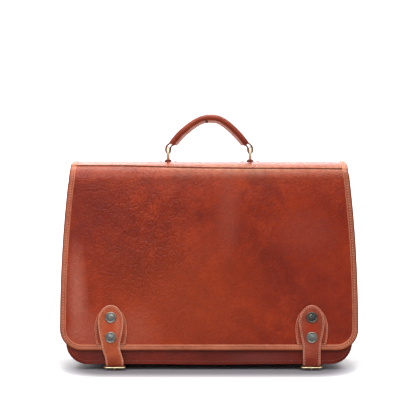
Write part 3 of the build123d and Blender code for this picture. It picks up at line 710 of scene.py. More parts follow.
def flap_profile(x):
    """q, y and z from the bottom of the face, round the bend and over the crown."""
    crease_y = float(np.interp(x, CREASE_X, CREASE_Y))
    bend_y = crease_y - CREASE_BEFORE
    step = CREASE_DEPTH * (0.25 + 0.75 * float(ease((204 - abs(x)) / 14)))
    bend_z = float(crown_z(bend_y)) - step
    face_angle = math.pi / 2 - FRONT_LEAN

    def bend_from(angle):
        """Gap to the face, v where the bend meets it, and the bend's centre."""
        centre_y = bend_y + BEND_R * math.sin(angle)
        centre_z = bend_z - BEND_R * math.cos(angle)
        end_y = centre_y - BEND_R * math.sin(face_angle)
        end_z = centre_z + BEND_R * math.cos(face_angle)
        v = (end_z - FRONT_BOTTOM_Z - FLAP_N * SIN_FRONT) / COS_FRONT
        return end_y - front_plane(v, FLAP_N)[0], v, centre_y, centre_z

    # halve the range until the bend is tangent to the face
    low, high = math.radians(2), math.radians(80)
    for _ in range(50):
        angle = (low + high) / 2
        if bend_from(angle)[0] > 0:
            high = angle
        else:
            low = angle
    _, face_top, centre_y, centre_z = bend_from(angle)

    face = front_plane(np.r_[np.linspace(0, Q_FACE, 51), after(Q_FACE, face_top, 7)], FLAP_N)
    bend = after(face_angle, angle, 21)
    t = after(0, 1, 13)
    groove_y = bend_y + (crease_y + CREASE_AFTER - bend_y) * t
    depth = (step * (1 - ease((t - 0.46) / 0.26))
             + 0.55 * step * np.exp(-((t - 0.40) / 0.14) ** 2))
    crown_y = after(crease_y + CREASE_AFTER, 44.0, 41)
    q = np.r_[np.linspace(0, Q_FACE, 51), after(Q_FACE, Q_BEND, 7), after(Q_BEND, Q_CREASE, 21),
              after(Q_CREASE, Q_CROWN, 13), after(Q_CROWN, Q_END, 41)]
    y = np.r_[face[0], centre_y - BEND_R * np.sin(bend), groove_y, crown_y]
    z = np.r_[face[1], centre_z + BEND_R * np.cos(bend), crown_z(groove_y) - depth,
              crown_z(crown_y)]
    return q, y, z


FLAP_Y = np.zeros((len(GRID_X), len(GRID_Q)))
FLAP_Z = np.zeros_like(FLAP_Y)
for i, x in enumerate(GRID_X):
    q, y, z = flap_profile(x)
    FLAP_Y[i], FLAP_Z[i] = np.interp(GRID_Q, q, y), np.interp(GRID_Q, q, z)


def crown_q(y):
    """q on the crown at y, in the middle of the bag."""
    crown = GRID_Q >= Q_CROWN
    return float(np.interp(y, FLAP_Y[len(GRID_X) // 2][crown], GRID_Q[crown]))


def flap_table(x, q):
    """(y, z) of the flap, interpolated both ways."""
    column = np.clip((x - GRID_X[0]) / (GRID_X[1] - GRID_X[0]), 0, len(GRID_X) - 1.001)
    i = column.astype(int)
    tx = column - i
    j = np.clip(np.searchsorted(GRID_Q, q, side="right") - 1, 0, len(GRID_Q) - 2)
    tq = (q - GRID_Q[j]) / (GRID_Q[j + 1] - GRID_Q[j])

    def between(table):
        return ((table[i, j] * (1 - tx) + table[i + 1, j] * tx) * (1 - tq)
                + (table[i, j + 1] * (1 - tx) + table[i + 1, j + 1] * tx) * tq)
    return between(FLAP_Y), between(FLAP_Z)


def undulation(x, q):
    """How far the supple flap stands off its flat shape."""
    middle = ease((q - 95) / 60) * ease((266 - q) / 40)
    belly = 1.9 * middle * (1 - np.clip(np.abs(x) / 205, 0, 1) ** 4)
    broad = (0.55 * np.sin(x / 47.0 + 0.8 + q / 160) + 0.4 * np.sin(x / 26.0 - q / 70 + 2.0)
             + 0.3 * np.sin(q / 38.0 + x / 90))
    left_fold = (0.8 * np.exp(-((x + 178) / 8.5) ** 2)
                 * ease((q - 40) / 40) * ease((235 - q) / 70))
    right_fold = (0.5 * np.exp(-((x - 182) / 8.0) ** 2)
                  * ease((q - 60) / 40) * ease((240 - q) / 70))
    ripple = (0.14 * np.sin(x / 9.5 + 1.7 * np.sin(q / 31))
              * np.sin(q / 12.0 + 1.3 * np.sin(x / 24)))
    return belly + (broad + left_fold + right_fold + ripple) * middle * 0.8


def flap_at(x, q, n=0.0):
    """Points and normals on the flap, n outside its surface."""
    x, q = np.broadcast_arrays(np.asarray(x, float), np.asarray(q, float))
    y0, z0 = flap_table(x, q - 0.35)
    y1, z1 = flap_table(x, q + 0.35)
    y, z = flap_table(x, q)
    length = np.hypot(y1 - y0, z1 - z0)
    normal_y, normal_z = -(z1 - z0) / length, (y1 - y0) / length
    n = n + undulation(x, q)
    # the ends of the top droop a little
    z = z - 2.2 * ease((q - 266) / 14) * (np.clip(np.abs(x) - 184, 0, 14) / 14) ** 2
    return xyz(x, y + normal_y * n, z + normal_z * n), xyz(0.0, normal_y, normal_z)


# ---------------------------------------------------------------- sheets
def sheet(name, surface, width_at, rows, material, outer, inner, columns=70, edge=0.6,
          inner_material=None, attributes=None):
    """Outer and inner faces at the given offsets, joined round a softened edge.

    attributes maps names to functions of (x, q).
    """
    rows = np.asarray(rows, float)
    x = width_at(rows)[:, None] * np.linspace(-1, 1, columns + 1)
    q = np.broadcast_to(rows[:, None], x.shape)
    outer_n, inner_n = np.full(x.shape, float(outer)), np.full(x.shape, float(inner))
    outer_n[:, [0, -1]] -= edge
    inner_n[:, [0, -1]] += edge * 0.6
    outer_n[[0, -1]] -= edge * 0.8
    inner_n[[0, -1]] += edge * 0.5
    verts = np.concatenate([surface(x, q, n)[0].reshape(-1, 3) for n in (outer_n, inner_n)])
    uv = np.tile(np.stack([x, q], -1).reshape(-1, 2), (2, 1))

    row_count, size = x.shape
    under = row_count * size
    faces, face_materials = [], []
    for i in range(row_count - 1):
        for j in range(size - 1):
            a = i * size + j
            b = a + size
            faces += [(a, a + 1, b + 1, b), (under + a, under + b, under + b + 1, under + a + 1)]
            face_materials += [0, 1]
    rim = (list(range(size)) + [i * size + size - 1 for i in range(1, row_count)]
           + [(row_count - 1) * size + j for j in range(size - 2, -1, -1)]
           + [i * size for i in range(row_count - 2, 0, -1)])
    for a, b in zip(rim, rim[1:] + rim[:1]):
        faces.append((a, a + under, b + under, b))
        face_materials.append(0)
    values = {key: value(uv[:, 0], uv[:, 1]) for key, value in (attributes or {}).items()}
    return make_object(name, verts, faces, [material, inner_material or material], uv=uv,
                       face_materials=face_materials, attributes=values)


# ---------------------------------------------------------------- flap (front and top in one)
REAR_Q = crown_q(27.0)


def flap_crease_shade(x, q):
    """Painted shade in the bottom of the crease, fading towards its ends."""
    groove = ease((q - 278.7) / 0.5) * ease((280.35 - q) / 0.35)
    return 0.8 * groove * (0.3 + 0.7 * ease((200 - np.abs(x)) / 12))


def flap_rub_and_highlight(x, q):
    """Paler along the crease: rubbed and a painted highlight on the crest, a painted highlight
    fading down the face below it.
    """
    crest = 0.55 * ease((300 - q) / 16)
    below = 0.78 * np.exp(-np.maximum(278.9 - q, 0) / 7.0) * (1 - 0.65 * ease((-50 - x) / 60))
    return np.where(q > 279.6, crest, below) * (0.85 + 0.15 * np.sin(x / 31.0))


flap_rows = np.r_[corner_rows(FLAP_BOTTOM), after(50, Q_BEND, 44), after(Q_BEND, Q_CREASE, 17),
                  after(Q_CREASE, Q_CROWN, 13), after(Q_CROWN, REAR_Q, 17)]
flap = sheet("flap_sheet", flap_at, flap_width, flap_rows, FLAP, 0.0, -2.4, columns=84,
             inner_material=FLESH, attributes={"dark": flap_crease_shade, "wear_and_sheen": flap_rub_and_highlight})
lining_rows = np.r_[24.0, np.linspace(30, Q_BEND, 30), np.linspace(264, Q_CROWN, 9),
                    np.linspace(284, REAR_Q - 4, 9)]
flap_lining = sheet("flap_lining_cloth", flap_at, lambda q: flap_width(q) - 3.0, lining_rows,
                    LINING, -2.45, -3.1, columns=40, edge=0.1)

# section of the folded strip round the flap's edge, from its inner margin over the
# front and back underneath: inset from the edge, height, wear and sheen (paler: worn, and a
# painted highlight on the ridges), dark (painted shade in the stitch channel; on the outer side
# partly a burnished edge, partly painted shade)
BINDING_WIDTH = 7.9
BINDING_SECTION = np.array([
    (BINDING_WIDTH, -0.05, 0.3, 0.35), (BINDING_WIDTH - 0.15, 0.42, 0.6, 0),
    (BINDING_WIDTH - 0.7, 0.66, 0.5, 0), (BINDING_WIDTH - 1.6, 0.78, 0.2, 0),
    (5.3, 0.86, 0, 0), (4.7, 0.78, 0, 0.15), (4.2, 0.60, 0, 0.3), (3.7, 0.78, 0, 0.15),
    (3.0, 0.93, 0.3, 0), (1.6, 0.98, 0.4, 0.18), (0.6, 0.80, 0.1, 0.62), (-0.2, 0.35, 0, 0.85),
    (-0.7, -0.4, 0, 0.9), (-0.85, -1.3, 0, 0.9), (-0.7, -2.3, 0, 0.85), (-0.1, -3.2, 0, 0.5),
    (1.2, -3.75, 0, 0), (4.0, -3.85, 0, 0), (BINDING_WIDTH - 0.6, -3.8, 0, 0),
    (BINDING_WIDTH - 0.2, -3.3, 0, 0)])


def make_binding():
    path = flap_edge_path(0.0, crown_q(40.0))
    along = arc_length(path)[:, None]
    inset, height, wear_and_sheen, dark = BINDING_SECTION.T
    place = path[:, None] + inset[:, None] * left_normals(path)[:, None]
    wobble = 0.06 * np.sin(along / 9.0) + 0.05 * np.sin(along / 3.7 + 1)
    heights = height + np.where(height > 0, wobble, 0)
    rings, _ = flap_at(place[..., 0], place[..., 1], heights)
    uv = np.stack(np.broadcast_arrays(inset - height + 300, along), -1).reshape(-1, 2)
    wear_and_sheen = np.maximum(wear_and_sheen, 0.9 * ease((path[:, 1:] - 270.0) / 9.0))    # paler all over on the top: worn, and a painted highlight
    return make_object("flap_edge_binding", *loft(rings), BINDING, uv=uv,
                       attributes={"wear_and_sheen": wear_and_sheen.ravel(), "dark": np.tile(dark, len(path))})


binding = make_binding()
binding_stitches = stitches("flap_edge_stitches",
                            *flap_at(*flap_edge_path(4.2, crown_q(38.0)).T, 0.70),
                            THREAD, pitch=3.8, length=2.7, width=0.52, height=0.55)


# ---------------------------------------------------------------- back, and over the top
BACK_TURN_Q, BACK_LAP_Q = 262, 288          # where the turn over the rear edge starts and ends
LAP_Y, LAP_END_Y = 33.0, 14                 # the lap on the crown, under the flap's rear edge
LAP_DROP = 2.55


def back_profile():
    """Rows of (q, y, z) up the back, round the turn and along the lap."""
    v = np.linspace(0, BACK_TURN_Q, 54)
    wall = np.stack([v, *back_plane(v, 0)], 1)
    start = wall[-1, 1:]
    end = np.array([LAP_Y, float(crown_z(LAP_Y)) - LAP_DROP])
    start_handle = start + np.array([-SIN_BACK, COS_BACK]) * 15
    end_handle = end - np.array([-0.97, 0.26]) * 9
    t = after(0, 1, 16)[:, None]
    bend = ((1 - t) ** 3 * start + 3 * (1 - t) ** 2 * t * start_handle
            + 3 * (1 - t) * t * t * end_handle + t ** 3 * end)
    y = after(LAP_Y, LAP_END_Y, 8)
    return np.vstack([wall, np.hstack([BACK_TURN_Q + (BACK_LAP_Q - BACK_TURN_Q) * t, bend]),
                      np.stack([BACK_LAP_Q + (LAP_Y - y), y, crown_z(y) - LAP_DROP], 1)])


BACK_Q, BACK_Y, BACK_Z = back_profile().T


def back_at(x, q, n=0.0):
    """Points and normals on the back sheet, n outside its surface."""
    def at(q):
        return np.interp(q, BACK_Q, BACK_Y), np.interp(q, BACK_Q, BACK_Z)
    y, z = at(q)
    y0, z0 = at(q - 0.5)
    y1, z1 = at(q + 0.5)
    length = np.maximum(np.hypot(y1 - y0, z1 - z0), 1e-9)
    normal_y, normal_z = (z1 - z0) / length, -(y1 - y0) / length
    belly = (ease((q - 40) / 80) * ease((262 - q) / 50)
             * (1 - np.clip(np.abs(x) / 190, 0, 1) ** 3))
    wave = 0.35 * np.sin(x / 39 + q / 55) * ease((q - 30) / 60) * ease((262 - q) / 50)
    n = n + belly + wave
    return xyz(x, y + normal_y * n, z + normal_z * n), xyz(0.0, normal_y, normal_z)


def back_width(q):
    return (panel_width(np.minimum(q, PANEL_HEIGHT))
            + np.maximum(q - PANEL_HEIGHT, 0) * 0.10)


back_rows = np.r_[corner_rows(0.0), after(30, BACK_TURN_Q, 46),
                  after(BACK_TURN_Q, BACK_LAP_Q, 15), after(BACK_LAP_Q, 307, 7)]
back = sheet("back_sheet", back_at, back_width, back_rows, BODY, 0.0, -2.3,
             inner_material=FLESH)
register(back, ["back_panel"],
         blend=("case", "flap_top", (0, (39.0 + OFFSET_Y) / 1000, 0.266),
                (0, (31.0 + OFFSET_Y) / 1000, 0.2885)))


# ---------------------------------------------------------------- front panel and seams
def front_at(x, v, n=0.0):
    """Points and normal on the front panel; its lower edge dips a little in the middle."""
    sag = -0.9 * np.exp(-((x - 8) / 60.0) ** 2) * ease((26 - v) / 26)
    hollow = 0.5 * ease((v - 40) / 60) * ease((250 - v) / 60) * (1 + 0.3 * np.sin(x / 40))
    tuck = 0.25 * ease((14 - v) / 14) * (np.abs(x) / 200)
    return face_at(x, v + sag, n - hollow - tuck), FRONT_NORMAL


front = sheet("front_sheet", front_at, panel_width,
              np.r_[corner_rows(0.0), after(30, PANEL_HEIGHT, 46)], BODY, 0.0, -2.3,
              inner_material=FLESH)
register(front, ["front_panel"], ride="case")

seam_path = panel_edge_path(4.6, 258.0)
front_seam = stitches("front_seam_stitches", *front_at(*seam_path.T, 0.05), THREAD_RED,
                      pitch=3.9, length=2.6, width=0.46)
register(front_seam, ride="case")
back_seam = stitches("back_seam_stitches", *back_at(*seam_path.T, 0.05), THREAD_DARK,
                     pitch=3.9, length=2.7)
register(back_seam, ride="case")


# ---------------------------------------------------------------- gusset strip
GUSSET_TOP = 261.0
GUSSET_LIFT = 8.0                           # the rear edge rises until the mouth is level
GUSSET_THICK = 1.5
SEAM_INSET = np.array([0.9, 3.2, 5.2])      # seam allowance: inset and offset from the panel
SEAM_N = np.array([-2.55, -2.55, -2.75])
WEB_N = -2.6


def gusset_ring(station, inward, depth):
    """Points across the gusset from the front seam to the rear seam, depth into the leather."""
    (x, v), (in_x, in_v) = station, inward
    side = abs(in_x)                        # 1 on the sides, 0 on the base
    rise = GUSSET_LIFT * (v / GUSSET_TOP) ** 3 * side
    fold = (1.0 + 22.0 * ease((v - 30) / 200) * side) * side

    def seam(plane, rise):
        return xyz(x + in_x * SEAM_INSET, *plane(v + in_v * SEAM_INSET + rise, SEAM_N - depth))

    # the web folds softly inward
    t = np.linspace(0.035, 0.965, 19)
    crease = np.exp(-((t - 0.5) / 0.17) ** 2) * 0.75 + 0.25 * np.sin(math.pi * t)
    soft_edge = 0.9 * np.exp(-(np.minimum(t, 1 - t) / 0.03) ** 2)
    inset = (6.1 + depth + fold * crease - soft_edge * 0.6
             + 0.3 * side * np.sin(v / 17.0 + t * 9) * np.sin(math.pi * t))
    web_v = v + in_v * inset
    front_y, front_z = front_plane(web_v, WEB_N)[0], front_plane(web_v, 0)[1]
    back_y, back_z = back_plane(web_v + rise, WEB_N)[0], back_plane(web_v + rise, 0)[1]
    web = xyz(x + in_x * inset, front_y + (back_y - front_y) * t,
              front_z + (back_z - front_z) * t)
    return np.vstack([seam(front_plane, 0), web, seam(back_plane, rise)[::-1]])


def make_gusset():
    path = panel_edge_path(0.0, GUSSET_TOP)
    rings = [np.vstack([gusset_ring(station, inward, 0.0),
                        gusset_ring(station, inward, GUSSET_THICK)[::-1]])
             for station, inward in zip(path, left_normals(path))]
    half = len(rings[0]) // 2
    across = np.r_[np.linspace(0, 118, half), np.linspace(118, 0, half)] + 400
    uv = np.stack(np.broadcast_arrays(across, arc_length(path)[:, None]), -1).reshape(-1, 2)
    gusset = make_object("gusset_strip", *loft(rings), BODY, uv=uv)
    register(gusset, ["gusset_left", "gusset_right", "base_panel"], ride="case")


make_gusset()

# ---------------------------------------------------------------- linings and divider
for side, surface, outer, inner in (("front", front_at, -2.5, -3.1),
                                    ("back", back_at, -2.6, -3.2)):
    lining = sheet(side + "_lining_cloth", surface, lambda v: panel_width(v) - 10.5,
                   np.r_[9.5, np.linspace(14, 258, 22)], LINING, outer, inner,
                   columns=30, edge=0.1)
    register(lining, [side + "_lining"], ride="case")


def divider_at(x, v, n):
    wave = 1.2 * ease((v - 40) / 120) * np.sin(x / 60.0)
    return xyz(x, wave - n, 4.2 + v), (0, -1.0, 0)


divider = sheet("divider_sheet", divider_at,
                lambda v: panel_width(v) - 10.4 - 12 * ease((v - 30) / 200),
                np.r_[11.2, np.linspace(16, 234, 26)], BODY, 1.0, -1.0, columns=36)
register(divider, ["divider"], ride="case")

# ---------------------------------------------------------------- pieces cut from an outline
CHANNEL_IN = 2.6                            # sewn channel, inside the edge
# Rings of a cut piece, from its spine out over the face and back underneath.
# inset: mm from the edge, or if negative the share of the way to the spine
# inset, height, share of the padding, wear and sheen (pale edge: wear and a painted highlight),
# dark (painted shade in the channel; the dark rim partly burnished, partly a painted shadow)
FACE_RINGS = [
    (-1.0, 0, 1.1, 0, 0), (-0.8, 0, 1.05, 0, 0), (-0.55, 0, 1, 0, 0),
    (CHANNEL_IN + 2.0, 0, 0.6, 0, 0), (CHANNEL_IN + 0.8, 0.02, 0, 0, 0),
    (CHANNEL_IN + 0.25, -0.28, 0, 0, 0.12), (CHANNEL_IN - 0.25, -0.28, 0, 0, 0.12),
    (CHANNEL_IN - 0.7, 0, 0, 0.05, 0), (1.2, 0, 0, 0.8, 0), (0.55, -0.08, 0, 1.0, 0),
    (0.15, -0.35, 0, 0.7, 0.2), (0.0, -0.8, 0, 0.1, 0.85)]
UNDER_RINGS = [(0.2, 0.25, 0, 0.4, 0.9), (1.0, 0, 0, 0, 0.5), (-0.5, 0, 0, 0, 0),
               (-1.0, 0, 0, 0, 0)]


def toward(outline, spine, inset):
    """The outline moved in towards its spine, never past half way for a positive inset."""
    step = spine - outline
    length = np.maximum(np.linalg.norm(step, axis=1), 1e-6)
    if inset < 0:
        share = np.full(len(length), -inset)
    else:
        share = inset / np.maximum(length, inset / 0.5)
    return outline + step * share[:, None]


def cut_piece(name, outline, spine, surface, top, bottom, material, padding, uv_shift):
    """Leather piece with a rounded edge and a channel that follows its outline; the edge is
    paler from wear and a painted highlight, its rim darker from burnish and a painted shadow,
    and the channel darkened with painted shade.
    """
    rings, uv, wear_and_sheen, dark = [], [], [], []
    for level, table in ((top, FACE_RINGS), (bottom, UNDER_RINGS)):
        for inset, height, pad, ring_wear_and_sheen, ring_dark in table:
            place = toward(outline, spine, inset)
            rings.append(surface(place[:, 0], place[:, 1], level + height + pad * padding))
            uv.append(place + (uv_shift, 0))
            wear_and_sheen.append(ring_wear_and_sheen)
            dark.append(ring_dark)
    size = len(outline)
    return make_object(name, *loft(rings, caps=False), material, uv=np.concatenate(uv),
                       attributes={"wear_and_sheen": np.repeat(wear_and_sheen, size), "dark": np.repeat(dark, size)})


# ---------------------------------------------------------------- patches under the straps
# right half of the outline from the top: x from the middle, v
PATCH_HALF = curve([(0, 80.9), (4, 80.5), (8.5, 79.0), (12.8, 76.4), (17.4, 71.2), (20.8, 64.2),
                    (22.8, 56.5), (23.2, 50), (22.6, 40), (21.4, 33), (20.6, 28.2)], 6)
PATCH_FACE, PATCH_UNDER = 6.0, 4.25


def make_patch(side):
    centre_x = STRAP_X[side]
    bottom = [(centre_x + x, 28.2) for x in np.linspace(-20.6, 20.6, 12)[1:-1]]
    outline = resample(np.vstack([mirrored(PATCH_HALF, centre_x), bottom]), 1.6, closed=True)
    v = outline[:, 1]
    spine = np.stack([np.full(len(v), centre_x), np.clip(v, 44.0, 64.0)], 1)
    patch = cut_piece("patch_" + side + "_leather", outline, spine, face_at, PATCH_FACE,
                      PATCH_UNDER, PATCH, padding=0.25, uv_shift=centre_x * 3)
    register(patch, ["patch_" + side], ride="flap_front")
    inner_half = (PATCH_HALF - (0, 28.5)) * (0.885, 0.955) + (0, 28.5)
    seam = resample(mirrored(inner_half, centre_x), 1.0)
    thread = stitches("patch_" + side + "_stitches", face_at(*seam.T, PATCH_FACE - 0.05),
                      FRONT_NORMAL, THREAD, pitch=3.4, length=2.5)
    register(thread, ride="flap_front")


for side in STRAP_X:
    make_patch(side)

# ---------------------------------------------------------------- straps
# One strip from the tab down the front, round the bottom edge and back through the buckle.
# s is the same as v above the bend and goes on falling along the strip below it.
STRAP_UNDER, STRAP_FACE = 6.2, 8.6
STRAP_MID = (STRAP_UNDER + STRAP_FACE) / 2
STRAP_HALF = 12.5
STRAP_BEND_V, STRAP_BEND_R = 3.6, 5.4
# mid-line under the bag, (y, z)
STRAP_BELOW = [(-55.4, 6.55), (-52.0, 5.2), (-48.5, 3.7), (-45.2, 2.75), (-42.0, 2.4),
               (-34.0, 2.2), (-27.0, 2.2)]
# right half of the tab from the top: x from the middle, v
TAB_HALF = curve([(0, 84.1), (4.3, 83.4), (8.5, 81.2), (12.7, 77.0), (16.0, 71), (17.7, 64.5),
                  (18.0, 59), (17.3, 50.5), (15.3, 39.5), (13.5, 31), (12.5, 25)], 6)
# rounded tail from left to right: x from the middle, s from the tip
TAIL_TIP = np.array([(3.6 - STRAP_HALF, 4.5), (-5.5, 1.4), (0, 0.2), (5.5, 1.4),
                     (STRAP_HALF - 3.6, 4.5)])


def strap_path():
    """s, y and z of the strip's mid-line from the tail's tip up to the tab."""
    start = front_plane(STRAP_BEND_V, STRAP_MID)
    angle = np.radians(after(180, 262, 9))
    bend = np.stack([start[0] + STRAP_BEND_R * COS_FRONT + STRAP_BEND_R * np.cos(angle),
                     start[1] - 0.2 + STRAP_BEND_R * np.sin(angle)], 1)
    below = curve(np.vstack([[start], bend, STRAP_BELOW]), 6)
    s = STRAP_BEND_V - arc_length(below)
    v = after(STRAP_BEND_V, 90, 30)
    y, z = front_plane(v, STRAP_MID)
    return np.r_[s[::-1], v], np.r_[below[::-1, 0], y], np.r_[below[::-1, 1], z]


PATH_S, PATH_Y, PATH_Z = strap_path()
STRAP_TIP = float(PATH_S[0])


def strap_at(x, s, n):
    """Points on the strip; n is measured as on the front panel."""
    def at(s):
        return np.interp(s, PATH_S, PATH_Y), np.interp(s, PATH_S, PATH_Z)
    y, z = at(s)
    y0, z0 = at(s - 0.6)
    y1, z1 = at(s + 0.6)
    length = np.maximum(np.hypot(y1 - y0, z1 - z0), 1e-9)
    # the bend under the bag is thinner, skived leather
    n = (n - STRAP_MID) * (0.92 + 0.08 * ease((s + 2) / 6))
    return xyz(x, y - (z1 - z0) / length * n, z + (y1 - y0) / length * n)


# stud cap: radius, height, pitting
STUD_CAP = np.array([
    (0, 2.35, 1.0), (0.8, 2.33, 1.0), (1.8, 2.2, 1.0), (2.9, 1.95, 1.0), (3.9, 1.62, 1.0),
    (4.7, 1.28, 1.0), (5.3, 1.02, 0.95), (5.7, 0.95, 0.8), (6.1, 1.08, 0.35), (6.6, 1.34, 0.0),
    (7.1, 1.40, 0.0), (7.55, 1.22, 0.0), (7.9, 0.82, 0.1), (8.0, 0.4, 0.3), (8.0, -0.1, 0.5)])
STUD_V = (66.4, 38.1)
STUD_SEGMENTS = 56
# upper and lower stud of each strap: material, pitting
# The left studs get less pitting, so they show paler: partly less patina, partly a painted
# highlight for the light they catch.
STUD_FINISH = {"left": ((BRONZE, 0.72), (BRONZE, 0.72)),
               "right": ((BRONZE_DARK, 1.0), (BRONZE, 0.8))}


def make_strap(side):
    centre_x, buckle_x = STRAP_X[side], BUCKLE_X[side]

    def centre(s):
        """The strip drifts from the tab's middle to the buckle's."""
        return centre_x + (buckle_x - centre_x) * ease((27 - s) / 24.0)

    down = np.linspace(24, STRAP_TIP + 9, 40)
    right = np.stack([centre(down) + STRAP_HALF, down], 1)
    left = np.stack([centre(down) - STRAP_HALF, down], 1)
    outline = resample(np.vstack([right[::-1], mirrored(TAB_HALF, centre_x), left,
                                  TAIL_TIP + (buckle_x, STRAP_TIP)]), 1.25, closed=True)
    spine_s = np.clip(outline[:, 1], STRAP_TIP + 12.0, 66.0)
    spine = np.stack([centre(spine_s), spine_s], 1)
    strap = cut_piece("strap_" + side + "_leather", outline, spine, strap_at, STRAP_FACE,
                      STRAP_UNDER, STRAP_LEATHER[side], padding=0.3, uv_shift=centre_x * 7)
    bend_z = front_plane(3.2, STRAP_MID)[1]
    bend_y = (-62 + OFFSET_Y) / 1000
    blend = ("case", "strap_" + side, (buckle_x / 1000, bend_y, (bend_z - 1.0) / 1000),
             (buckle_x / 1000, bend_y, (bend_z + 6.5) / 1000))
    register(strap, ["strap_" + side, "strap_tail_" + side], blend=blend)

    # the seam stops under the bag; roll it so that it starts and ends there
    seam = toward(outline, spine, CHANNEL_IN)
    seam = seam[seam[:, 1] > -6.0]
    gaps = np.linalg.norm(np.diff(np.vstack([seam, seam[:1]]), axis=0), axis=1)
    seam = np.roll(seam, -(int(np.argmax(gaps)) + 1), axis=0)
    points = strap_at(*seam.T, STRAP_FACE - 0.02)
    normals = points - strap_at(*seam.T, STRAP_FACE - 1.12)
    normals /= np.linalg.norm(normals, axis=1)[:, None]
    thread = stitches("strap_" + side + "_stitches", points, normals, THREAD,
                      pitch=3.4, length=2.5, width=0.44)
    register(thread, blend=blend)
    make_studs(side)


def make_studs(side):
    caps = []
    for k, (stud_v, (material, pitting)) in enumerate(zip(STUD_V, STUD_FINISH[side])):
        def place(radius, height, angle):
            dent = 0.05 * np.sin(3 * angle + k) * (radius / 8) ** 2
            return face_at(STRAP_X[side] + radius * np.cos(angle),
                           stud_v + radius * np.sin(angle), STRAP_FACE + height + dent)
        pit = np.repeat(STUD_CAP[:, 2] * pitting, STUD_SEGMENTS)
        caps.append(make_object("stud_cap", *lathe(STUD_CAP[:, :2], STUD_SEGMENTS, place),
                                material, attributes={"pit": pit}))
    pair = merge("stud_cap_" + side + "_pair", caps)
    register(pair, ["stud_caps_" + side], ride="strap_" + side)


for side in STRAP_X:
    make_strap(side)

# ---------------------------------------------------------------- buckles and tongues
HEEL_Y, HEEL_Z = -43.5, 6.9                 # the bar that the tongue turns on
OUTER_Y, OUTER_Z = -62.0, 4.3               # the opposite bar, towards the front
BUCKLE_LENGTH = math.hypot(HEEL_Y - OUTER_Y, HEEL_Z - OUTER_Z)
BUCKLE_DIR = ((HEEL_Y - OUTER_Y) / BUCKLE_LENGTH, (HEEL_Z - OUTER_Z) / BUCKLE_LENGTH)
BUCKLE_HALF, BUCKLE_CORNER = 14.2, 3.2
HEEL_CORNER = BUCKLE_CORNER * 0.6
HEEL_CENTRE = BUCKLE_LENGTH + 0.4 - HEEL_CORNER
# corners: side, place along the buckle, radius along it, first and last angle
BUCKLE_CORNERS = ((1, BUCKLE_CORNER, BUCKLE_CORNER, 0, -90),
                  (-1, BUCKLE_CORNER, BUCKLE_CORNER, -90, -180),
                  (-1, HEEL_CENTRE, HEEL_CORNER, 180, 90), (1, HEEL_CENTRE, HEEL_CORNER, 90, 0))
# tongue, (y, z): round the heel bar, then forward to its tip
TONGUE = curve([(HEEL_Y + 1.9, HEEL_Z + 0.9), (HEEL_Y + 0.9, HEEL_Z + 2.05),
                (HEEL_Y - 0.9, HEEL_Z + 2.0), (HEEL_Y - 2.2, HEEL_Z + 0.7), (-47.6, 4.6),
                (-50.8, 2.75), (-54.5, 1.95), (-59.0, 1.75), (-62.4, 1.9), (-64.4, 2.9)], 5)


def make_buckle(side):
    centre_x = BUCKLE_X[side]
    corners = []
    for sign, centre, radius, first, last in BUCKLE_CORNERS:
        angle = np.radians(np.linspace(first, last, 6))
        x = sign * (BUCKLE_HALF - BUCKLE_CORNER) + BUCKLE_CORNER * np.cos(angle)
        along = centre + radius * np.sin(angle)
        corners.append(xyz(centre_x + x, OUTER_Y + BUCKLE_DIR[0] * along,
                           OUTER_Z + BUCKLE_DIR[1] * along))
    points = resample(np.vstack(corners), 1.0, closed=True)
    radii = np.where(np.abs(points[:, 1] - OUTER_Y) < 3.0, 1.45, 1.15)
    buckle = tube("buckle_" + side + "_brass", points, radii,
                  up=(0, -BUCKLE_DIR[1], BUCKLE_DIR[0]), sides=14, material=BRASS,
                  closed=True, squash=0.85)
    register(buckle, ["buckle_frame_" + side], ride="case")
    radii = np.interp(np.linspace(0, 1, len(TONGUE)), [0, 0.2, 0.8, 1], [0.8, 1.0, 1.0, 0.75])
    tongue = tube("tongue_" + side + "_brass", xyz(centre_x, *TONGUE.T), radii,
                  up=(1, 0, 0), sides=12, material=BRASS)
    register(tongue, ["tongue_" + side], ride="tongue_" + side)


for side in BUCKLE_X:
    make_buckle(side)


# ---------------------------------------------------------------- chapes and ring anchors
def make_chape(side):
    """The solid of the chape, remeshed and smoothed until its edges are round."""
    node = "chape_" + side
    mesh = NODES[node].data.copy()
    chape = bpy.data.objects.new(node + "_leather", mesh)
    bpy.context.scene.collection.objects.link(chape)
    mesh.materials.clear()
    remesh = chape.modifiers.new("r", "REMESH")
    remesh.mode = "VOXEL"
    remesh.voxel_size = 0.45 / 1000
    remesh.adaptivity = 0.0
    smooth = chape.modifiers.new("s", "SMOOTH")
    smooth.factor = 0.5
    smooth.iterations = 6
    depsgraph = bpy.context.evaluated_depsgraph_get()
    rounded = bpy.data.meshes.new_from_object(chape.evaluated_get(depsgraph))
    chape.modifiers.clear()
    chape.data = rounded
    rounded.materials.append(CHAPE)
    rounded.polygons.foreach_set("use_smooth", [True] * len(rounded.polygons))
    register(chape, [node], ride="case")


# low dome under each ring: radius, height
ANCHOR_PROFILE = [(0.0, 3.9), (1.3, 3.8), (2.6, 3.35), (3.8, 2.5), (4.7, 1.5), (5.2, 0.6),
                  (5.4, -0.4), (4.0, -0.6), (0.0, -0.6)]


def make_anchor(side, sign):
    def place(radius, height, angle):
        return xyz(sign * RING_X + radius * np.cos(angle), 0.78 * radius * np.sin(angle),
                   CREST_Z + height * (1 - 0.12 * np.abs(np.cos(angle)) ** 3))
    anchor = make_object("ring_anchor_" + side, *lathe(ANCHOR_PROFILE, 32, place), ANCHOR)
    register(anchor, ["ring_loop_" + side], ride="flap_top")


for side, sign in SIDES:
    make_chape(side)
    make_anchor(side, sign)

